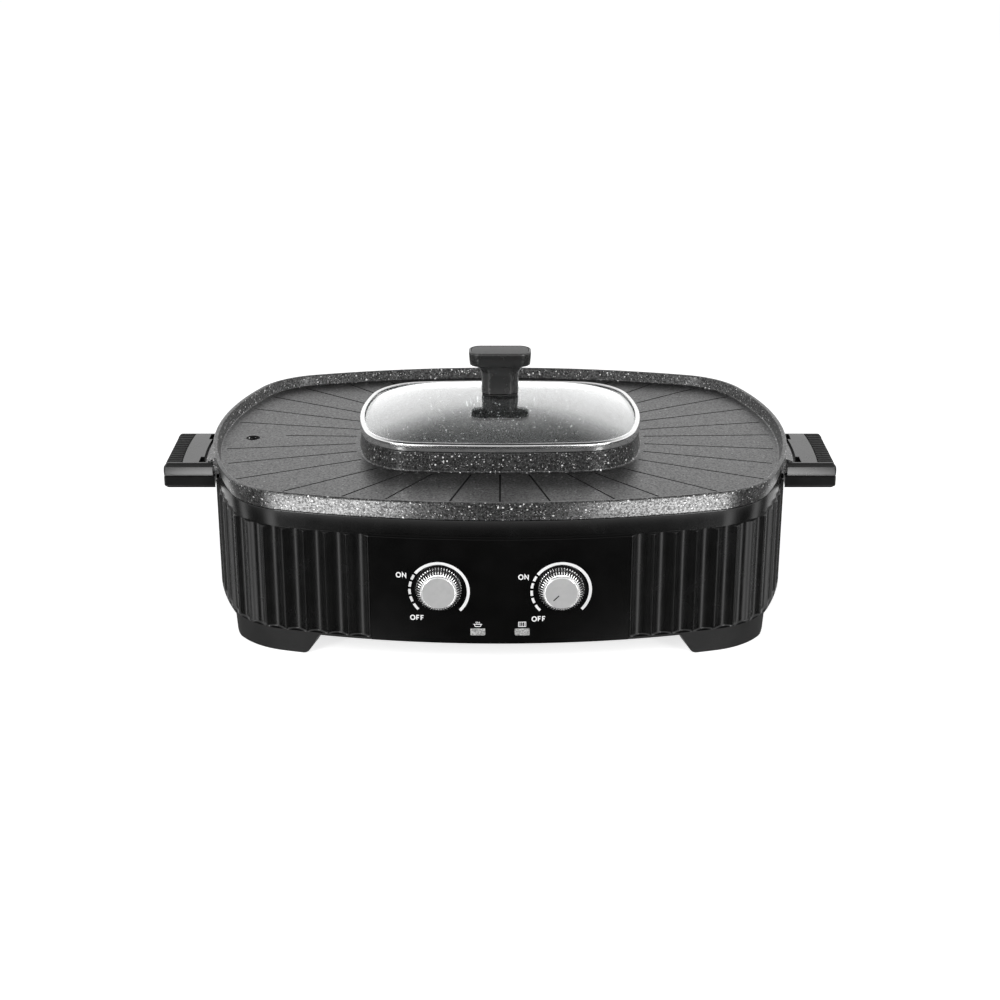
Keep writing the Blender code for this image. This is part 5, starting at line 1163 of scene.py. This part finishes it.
def make_pan():
    """One casting: the grill with its rim and score lines, the pot with its collar, and two lugs."""
    pot_top = COLLAR_INSET + COLLAR_WALL
    pot_low = pot_top + POT_DRAFT
    outer_low = pot_low - POT_WALL
    outer_top = pot_top + POT_DRAFT * (COLLAR_TOP_Z - GRILL_Z) / (COLLAR_TOP_Z - POT_FLOOR_Z) - POT_WALL
    skirt_end = PAN_SKIRT_INSET + PAN_SKIRT_WALL
    foot = COLLAR_INSET - COLLAR_FLARE
    inside = rounded(
        (pot_low + 2 * POT_CORNER, POT_FLOOR_Z, 0),
        (pot_low, POT_FLOOR_Z, POT_CORNER),
        (pot_top, COLLAR_TOP_Z, LIP_EDGE),
        (COLLAR_INSET, COLLAR_TOP_Z, LIP_EDGE),
        (foot, GRILL_Z, COLLAR_FILLET),
        (foot - COLLAR_FILLET - RIM_FILLET, GRILL_Z, 0),
        steps=8,
    )
    edge = rounded(
        (RIM_WALL + RIM_FLOOR_WIDTH, GRILL_Z, 0),
        (RIM_WALL, GRILL_Z, RIM_FILLET),
        (RIM_LIP_WIDTH, RIM_TOP_Z, LIP_EDGE),
        (0, RIM_TOP_Z, RIM_TOP_ROUND),
        (RIM_FOOT_INSET, RIM_FOOT_Z, RIM_FOOT_ROUND),
        (PAN_SKIRT_INSET, RIM_FOOT_Z, 0),
        (PAN_SKIRT_INSET, PAN_SKIRT_LOW_Z, 0),
        (skirt_end, PAN_SKIRT_LOW_Z, 0),
        (skirt_end, PLATE_UNDER_Z, 0),
        steps=5,
    )
    under = rounded(
        (outer_top, PLATE_UNDER_Z, 0),
        (outer_low, POT_UNDER_Z, POT_CORNER),
        (pot_low + 2 * POT_CORNER, POT_UNDER_Z, 0),
        steps=8,
    )
    paths = ((LID, inside), (RIM, edge), (LID, under))
    rings = [outline.ring(*point) for outline, path in paths for point in path]
    pan = piece("pan_casting", lofted(rings), "coating", "pan", "pan")

    spout = bmesh.new()
    drain_x = DRAIN_INSET - RIM.half_length
    spout_z = PLATE_UNDER_Z - SPOUT_DROP
    post(spout, drain_x, 0, spout_z, (GRILL_Z + PLATE_UNDER_Z) / 2, DRAIN_RADIUS + SPOUT_WALL)
    carve(pan, spout, "UNION")
    inner = BAND_INSET - LUG_BAND_GAP
    tongue_z = COVER_UNDER_Z + CLEARANCE / 2
    profile = rounded(
        (inner, RIM_FOOT_Z + LUG_ROOT_RISE, 0),
        (0, RIM_FOOT_Z + CLEARANCE, LUG_ROOT_ROUND),
        (-LUG_REACH, HANDLE_TOP_Z, LUG_ROUND),
        (-LUG_REACH, tongue_z, 0),
        (inner, tongue_z, 0),
    )
    near_x = RIM.half_length + LUG_REACH / 2
    far_x = RIM.half_length + HANDLE_REACH - GRIP_WIDTH - TONGUE_GAP
    half = TONGUE_HALF_WIDTH
    for side in SIDES.values():
        rings = []
        for y in span(-LUG_HALF_WIDTH, LUG_HALF_WIDTH, 20):
            rings.append([(side * RIM.end_x(y, inset), y, z) for inset, z in profile])
        carve(pan, lofted(rings), "UNION")
        low_x, high_x = sorted((side * near_x, side * far_x))
        tongue = bmesh.new()
        box(tongue, (low_x, -half, tongue_z), (high_x, half, tongue_z + TONGUE_THICKNESS))
        carve(pan, tongue, "UNION")
    hole = ((0, spout_z - OVERRUN), (0, GRILL_Z - DRAIN_BEVEL), (DRAIN_BEVEL + OVERRUN, GRILL_Z + OVERRUN))
    carve(pan, lofted([circle((drain_x, 0, z), DRAIN_RADIUS + wider) for wider, z in hole]))
    carve(pan, score_lines())

    def in_score(face):
        x, y, z = face.center
        inside = math.hypot(x / RIM.half_length, (y - CENTRE_Y) / RIM.half_depth) < 1
        return inside and GRILL_Z - SCORE_DEPTH - SCORE_MARGIN < z < GRILL_Z - SCORE_MARGIN

    # Painted shade: the faces inside the score lines get a darker, duller finish than the coating round them
    repaint(pan, "score", in_score)


# Handles


def cover_edge():
    """The cover's edge by the pan, from its back end: two ends that wrap the lug, two notches, a slot."""
    inner = HANDLE_HALF_WIDTH - HANDLE_WRAP
    wrap_x = RIM.end_x(inner, 0) + CREST_INSET
    slot = -LUG_REACH - HANDLE_SLOT
    notch_y = inner - HANDLE_NOTCH_LENGTH
    notch_x = RIM.end_x(notch_y, slot) + HANDLE_NOTCH_WIDTH
    back = [(wrap_x, HANDLE_HALF_WIDTH), (wrap_x, inner), (notch_x, inner), (notch_x, notch_y)]
    curve = [(RIM.end_x(y, slot), y) for y in span(notch_y, -notch_y, 20)]
    return back + curve + [(x, -y) for x, y in reversed(back)]


def base_edge():
    """The base's edge beside the housing, from its back end, which reaches in under the lug."""
    inset = CREST_INSET - HANDLE_BASE_GAP
    return [(RIM.end_x(y, inset), y) for y in span(HANDLE_HALF_WIDTH, -HANDLE_HALF_WIDTH, 24)]


def handle_plan(side, z, inner_edge, draw_in):
    """The handle's outline seen from above: square outside, and closed by inner_edge."""
    half = HANDLE_HALF_WIDTH - draw_in
    centre_x = RIM.half_length + HANDLE_REACH - draw_in - HANDLE_CORNER
    centre_y = half - HANDLE_CORNER
    arc = []
    for turn in span(0, math.pi / 2, 8):
        arc.append((centre_x + HANDLE_CORNER * math.sin(turn), centre_y + HANDLE_CORNER * math.cos(turn)))
    points = [(x, -y) for x, y in arc] + arc[::-1]
    points += [(x, max(-half, min(half, y))) for x, y in inner_edge]
    return [(side * x, y, z) for x, y in points]


def grip_border(draw_in):
    """Points of the grip's curved inner edge, as (x, y) from the front."""
    half = HANDLE_HALF_WIDTH - GRIP_END_WALL
    middle = RIM.half_length + HANDLE_REACH - GRIP_WIDTH - GRIP_BOW / 2 + draw_in
    return [(middle + GRIP_BOW * (1 - share**2), half * share) for share in span(-1, 1, 16)]


def make_handle(name, side):
    outer = RIM.half_length + HANDLE_REACH
    face_mid = (COVER_UNDER_Z + HANDLE_TOP_Z - HANDLE_CHAMFER) / 2
    chamfer = HANDLE_CHAMFER * HANDLE_CHAMFER_SHARE
    profile = rounded(
        *((inset, COVER_UNDER_Z + rise, 0) for inset, rise in COVER_FOOT),
        (0, face_mid, 0),
        (COVER_LEAN[0], face_mid + COVER_LEAN[1], 0),
        (COVER_SHOULDER[0], HANDLE_TOP_Z - HANDLE_CHAMFER, COVER_SHOULDER[1]),
        (chamfer, HANDLE_TOP_Z, COVER_TOP_ROUND),
        (chamfer + HANDLE_FLAT, HANDLE_TOP_Z, 0),
    )
    rings = [handle_plan(side, z, cover_edge(), inset) for inset, z in profile]
    cover = piece(SHELL.format(name), lofted(rings), "handle", "pan", f"handle_{name}_cover")
    pocket = bmesh.new()
    half = TONGUE_HALF_WIDTH + CLEARANCE
    low_x, high_x = sorted((side * (RIM.half_length - OVERRUN), side * (outer - GRIP_WIDTH - POCKET_GAP)))
    box(pocket, (low_x, -half, COVER_UNDER_Z - OVERRUN), (high_x, half, HANDLE_TOP_Z - COVER_ROOF))
    carve(cover, pocket)
    seat_half = HANDLE_HALF_WIDTH - GRIP_END_WALL
    seat_z = HANDLE_TOP_Z - GRIP_SEAT_DEPTH
    ends = [(outer + OVERRUN, seat_half), (outer + OVERRUN, -seat_half)]
    plan = grip_border(-CLEARANCE) + ends
    wide = grip_border(-CLEARANCE - FINE_BEVEL) + ends
    top = HANDLE_TOP_Z
    levels = ((plan, seat_z), (plan, top - FINE_BEVEL), (wide, top), (wide, top + OVERRUN))
    carve(cover, lofted([[(side * x, y, z) for x, y in points] for points, z in levels]))

    profile = rounded(
        (BASE_CHAMFER + HANDLE_FLAT, HANDLE_UNDER_Z, 0),
        (BASE_CHAMFER, HANDLE_UNDER_Z, BASE_ROUNDS[0]),
        (0, HANDLE_UNDER_Z + BASE_CHAMFER, BASE_ROUNDS[1]),
        (0, COVER_UNDER_Z - CLEARANCE - FINE_BEVEL, 0),
        (FINE_BEVEL, COVER_UNDER_Z - CLEARANCE, 0),
    )
    rings = [handle_plan(side, z, base_edge(), inset) for inset, z in profile]
    base = piece(f"handle_{name}_underside", lofted(rings), "handle_base", "pan", f"handle_{name}_base")
    heads = bmesh.new()
    for end in ("front", "back"):
        low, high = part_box(f"handle_screw_{name}_{end}")
        x, y = (low.x + high.x) / 2, (low.y + high.y) / 2 - CENTRE_Y
        post(heads, x, y, HANDLE_UNDER_Z - OVERRUN, low.z + SCREW_HEAD, (high.x - low.x) / 2 + CLEARANCE)
    carve(base, heads)

    grip_top = HANDLE_TOP_Z - CLEARANCE
    grip_low = seat_z + CLEARANCE
    floor = grip_top - GRIP_RIB_HEIGHT
    grip_half = seat_half - CLEARANCE
    pitch = 2 * grip_half / (GRIP_RIBS - 1 + GRIP_RIB_SHARE)
    corners = [(-grip_half, grip_low, 0), (grip_half, grip_low, 0)]
    for index in range(GRIP_RIBS - 1, -1, -1):
        low = -grip_half + index * pitch
        corners += [(low + pitch * GRIP_RIB_SHARE, grip_top, FINE_BEVEL), (low, grip_top, FINE_BEVEL)]
        if index:
            before = low - pitch * (1 - GRIP_RIB_SHARE)
            corners += [(low, floor, FINE_BEVEL), (before, floor, FINE_BEVEL)]
    path = rounded(*corners, steps=3, closed=True)
    inner_x = outer - GRIP_WIDTH - GRIP_BOW / 2
    outer_x = outer - HANDLE_CHAMFER / 2
    bows = [inner_x + GRIP_BOW * (1 - (y / seat_half) ** 2) for y, _ in path]
    levels = [(bows, FINE_BEVEL), ([bow + FINE_BEVEL for bow in bows], 0.0)]
    levels += [([outer_x - back] * len(path), drop) for back, drop in GRIP_END]
    rings = []
    for places, drop in levels:
        ring = []
        for x, (y, z) in zip(places, path):
            lowered = z - drop if z > floor - SCORE_MARGIN else z
            ring.append((side * x, y, max(grip_low, lowered)))
        rings.append(ring)
    piece(f"handle_{name}_ribbed_grip", lofted(rings), "grip", "pan", f"handle_{name}_grip")


# Lid


def make_band():
    low, top, sheet = LID_UNDER_Z, LID_BAND_TOP_Z, BAND_SHEET
    outside = ((low, BAND_FOOT), (low, BAND_LOW), ((low + top) / 2, BAND_MIDDLE), (top, BAND_HIGH))
    profile = rounded(
        *((inset, start + rise, radius) for start, (inset, rise, radius) in outside),
        (sheet * BAND_SHOULDER[0], top, BAND_SHOULDER[1]),
        (BAND_LIP, top - sheet * BAND_ROLL[0], BAND_ROLL[1]),
        (BAND_LIP, top - sheet, 0),
        (sheet, top - sheet, 0),
        (sheet, low + sheet, 0),
        (BAND_FLANGE, low + sheet, 0),
        (BAND_FLANGE, low, 0),
        steps=5,
        closed=True,
    )
    mesh = lofted([LID.ring(*point) for point in profile], closed=True)
    piece("lid_steel_band", mesh, "steel", "lid", "lid_band")


def make_glass():
    """A dome that runs from the band's outline to a round land under the knob."""
    outline = LID.ring(BAND_FLANGE, 0)
    spokes = [math.atan2(point.y, point.x) for point in outline]
    upper = [LID.ring(inset, GLASS_EDGE_Z + rise) for inset, rise in GLASS_EDGE]
    for share in span(1, GLASS_LAND_SHARE, GLASS_STEPS):
        part = (share - GLASS_LAND_SHARE) / (1 - GLASS_LAND_SHARE)
        z = GLASS_START_Z + (GLASS_TOP_Z - GLASS_START_Z) * (1 - part**2)
        radius = GLASS_LAND_RADIUS * share / GLASS_LAND_SHARE
        plain = [Vector((point.x * share, point.y * share, z)) for point in outline]
        circled = [polar((0, 0), radius, spoke, z) for spoke in spokes]
        upper.append([one.lerp(two, (1 - part) ** 3) for one, two in zip(plain, circled)])
    upper.append([polar((0, 0), GLASS_HOLE, spoke, GLASS_TOP_Z) for spoke in spokes])
    lower = [[point - Vector((0, 0, GLASS_THICKNESS)) for point in ring] for ring in reversed(upper)]
    mesh = lofted(upper + lower, closed=True)
    piece("lid_dome_glass", mesh, "glass", "lid", "lid_glass", crisp=GLASS_CRISP_ANGLE)


def bowed(size, corner, z):
    """A rounded rectangle whose ends are drawn in towards its corners, so that they curve."""
    made = []
    for point in rounded_rectangle(size.x, size.y, corner, z, 10):
        draw = END_BOW * (point.y / size.y) ** 2 * abs(point.x) / size.x
        made.append((point.x - math.copysign(draw, point.x), point.y, z))
    return made


def make_lid_knob():
    top = LID_KNOB_Z + LID_KNOB_HEIGHT
    low = top - LID_KNOB_CAP_HEIGHT
    neck, cap, both = Vector(LID_KNOB_NECK), Vector(LID_KNOB_CAP), Vector((1, 1))
    under = cap - both * LID_KNOB_TAPER
    path = [(neck - both * LID_KNOB_FOOT, LID_KNOB_Z), (neck, LID_KNOB_Z + LID_KNOB_FOOT)]
    for share in span(0, 1, 12):
        flare = share**LID_KNOB_FLARE_CURVE * LID_KNOB_FLARE_SHARE
        path.append((neck + (under - neck) * flare, low - LID_KNOB_FLARE * (1 - share)))
    path += [(under - both * inset, low + rise) for inset, rise in LID_KNOB_CAP_FOOT]
    path += [(cap - both * inset, top - drop) for inset, drop in LID_KNOB_CAP_EDGE]
    path.append((cap - both * INLAY_MARGIN, top - INLAY_THICKNESS - CLEARANCE))
    rings = []
    for size, z in path:
        inner = max(0.0, cap.x - size.x)
        if z > low + LID_KNOB_SIDE_RISE:
            corner = LID_KNOB_CORNER - inner * LID_KNOB_CORNER_SHARES[0]
        else:
            corner = min(LID_KNOB_CORNER + inner * LID_KNOB_CORNER_SHARES[1], size.y - LID_KNOB_LEAST_SIDE)
        rings.append(bowed(size, corner, z))
    piece("lid_knob_body", lofted(rings), "knob", "lid", "lid_knob")
    rings = []
    for draw, drop in INLAY_EDGE:
        inset = INLAY_MARGIN + CLEARANCE + draw
        rings.append(bowed(cap - both * inset, LID_KNOB_CORNER - inset, top - drop))
    piece("lid_knob_plate", lofted(rings), "inlay", "lid", "lid_knob_inlay")


# Studio


def area_light(name, place, target, size, watts, only, levels, glossy=True):
    """A light panel; with only, it is a card that just the gloss of that piece shows.

    With levels, its strength runs from the first at its foot to the second at its top.
    """
    data = bpy.data.lights.new(name, "AREA")
    data.shape = "RECTANGLE"
    data.size, data.size_y = size
    data.energy = watts
    if levels:
        nodes = Nodes(data, keep=True)
        place_on = nodes.node("NewGeometry").outputs["Parametric"]
        rise = nodes.node("SeparateXYZ", Vector=place_on).outputs["Y"]
        strength = nodes.join("Math", rise, levels[1] - levels[0], levels[0], operation="MULTIPLY_ADD")
        nodes.give(nodes.tree.nodes["Emission"].inputs["Strength"], strength)
    made = add_object(name, data)
    made.location = place
    made.rotation_euler = (Vector(target) - Vector(place)).to_track_quat("-Z", "Y").to_euler()
    made.visible_camera = False
    made.visible_glossy = glossy
    if only:
        made.visible_diffuse = False
        lit = bpy.data.collections.new(name + "_lit")
        lit.objects.link(bpy.data.objects[only])
        made.light_linking.receiver_collection = lit


def make_lights():
    for panel in PANELS:
        area_light(*panel)
    for name, side in SIDES.items():
        for kind, place, target, size, watts, only, levels in SIDE_CARDS:
            shift = CROWN_CARD_SHIFT if kind == "crown_card" else 0.0
            place = (side * place[0] + shift, *place[1:])
            target = (side * target[0], *target[1:])
            area_light(f"{kind}_{name}", place, target, size, watts, only and only.format(name), levels)


def make_floor():
    """A floor that looks white, takes the object's shadow and doesn't show in gloss."""
    data = bpy.data.meshes.new("floor")
    corners = [(x * FLOOR_REACH, y * FLOOR_REACH, 0) for x, y in ((-1, -1), (1, -1), (1, 1), (-1, 1))]
    data.from_pydata(corners, [], [range(4)])
    floor = add_object("floor", data)
    paper = bpy.data.materials.new("floor_paper")
    nodes = Nodes(paper)
    lit = nodes.node("BsdfDiffuse", Color=grey(FLOOR_LEVEL)).outputs["BSDF"]
    glow = nodes.node("Emission", Strength=FLOOR_GLOW).outputs["Emission"]
    clear = nodes.node("BsdfTransparent").outputs["BSDF"]
    seen, glossy = nodes.seen()
    shown = nodes.join("MixShader", seen, lit, nodes.join("AddShader", lit, glow))
    nodes.node("OutputMaterial", Surface=nodes.join("MixShader", glossy, shown, clear))
    data.materials.append(paper)


def make_world():
    """White behind the object, a soft even fill, and lit walls and strips that only gloss shows."""
    world = bpy.data.worlds.new("studio")
    bpy.context.scene.world = world
    nodes = Nodes(world)
    world.cycles.sampling_method = "NONE"
    parts = nodes.node("SeparateXYZ", Vector=nodes.node("TexCoord").outputs["Generated"]).outputs
    rise = nodes.maths("ARCSINE", parts["Z"])
    ahead = nodes.maths("MULTIPLY", parts["Y"], -1.0)
    turn = nodes.maths("ARCTAN2", nodes.maths("ABSOLUTE", parts["X"]), ahead)
    levels = [nodes.maths("MULTIPLY", nodes.ramp(rise, SKY), SKY_LEVEL)]
    for around, upward, level in WALLS:
        levels.append(nodes.maths("MULTIPLY", nodes.ramp(turn, around), nodes.ramp(rise, upward), level))
    fill = nodes.node("Background", Strength=WORLD_FILL).outputs["Background"]
    mirrored = nodes.node("Background", Strength=nodes.maths("ADD", *levels, DARK)).outputs["Background"]
    white = nodes.node("Background", Color=grey(1.0), Strength=1.0).outputs["Background"]
    seen, glossy = nodes.seen()
    shown = nodes.join("MixShader", seen, nodes.join("MixShader", glossy, fill, mirrored), white)
    nodes.node("OutputWorld", Surface=shown)


def make_camera():
    data = bpy.data.cameras.new("camera")
    data.lens = CAMERA_LENS
    data.sensor_width = CAMERA_SENSOR
    camera = add_object("camera", data)
    camera.location = CAMERA_PLACE
    camera.rotation_euler = (CAMERA_TILT, 0, 0)
    bpy.context.scene.camera = camera


def main():
    bpy.context.scene.view_settings.view_transform = "Standard"
    finish_nodes()
    make_housing()
    make_panel()
    make_lenses()
    make_print()
    for name, side in SIDES.items():
        make_knob(name, side)
        make_handle(name, side)
    make_pan()
    make_band()
    make_glass()
    make_lid_knob()
    make_floor()
    make_world()
    make_lights()
    make_camera()


main()
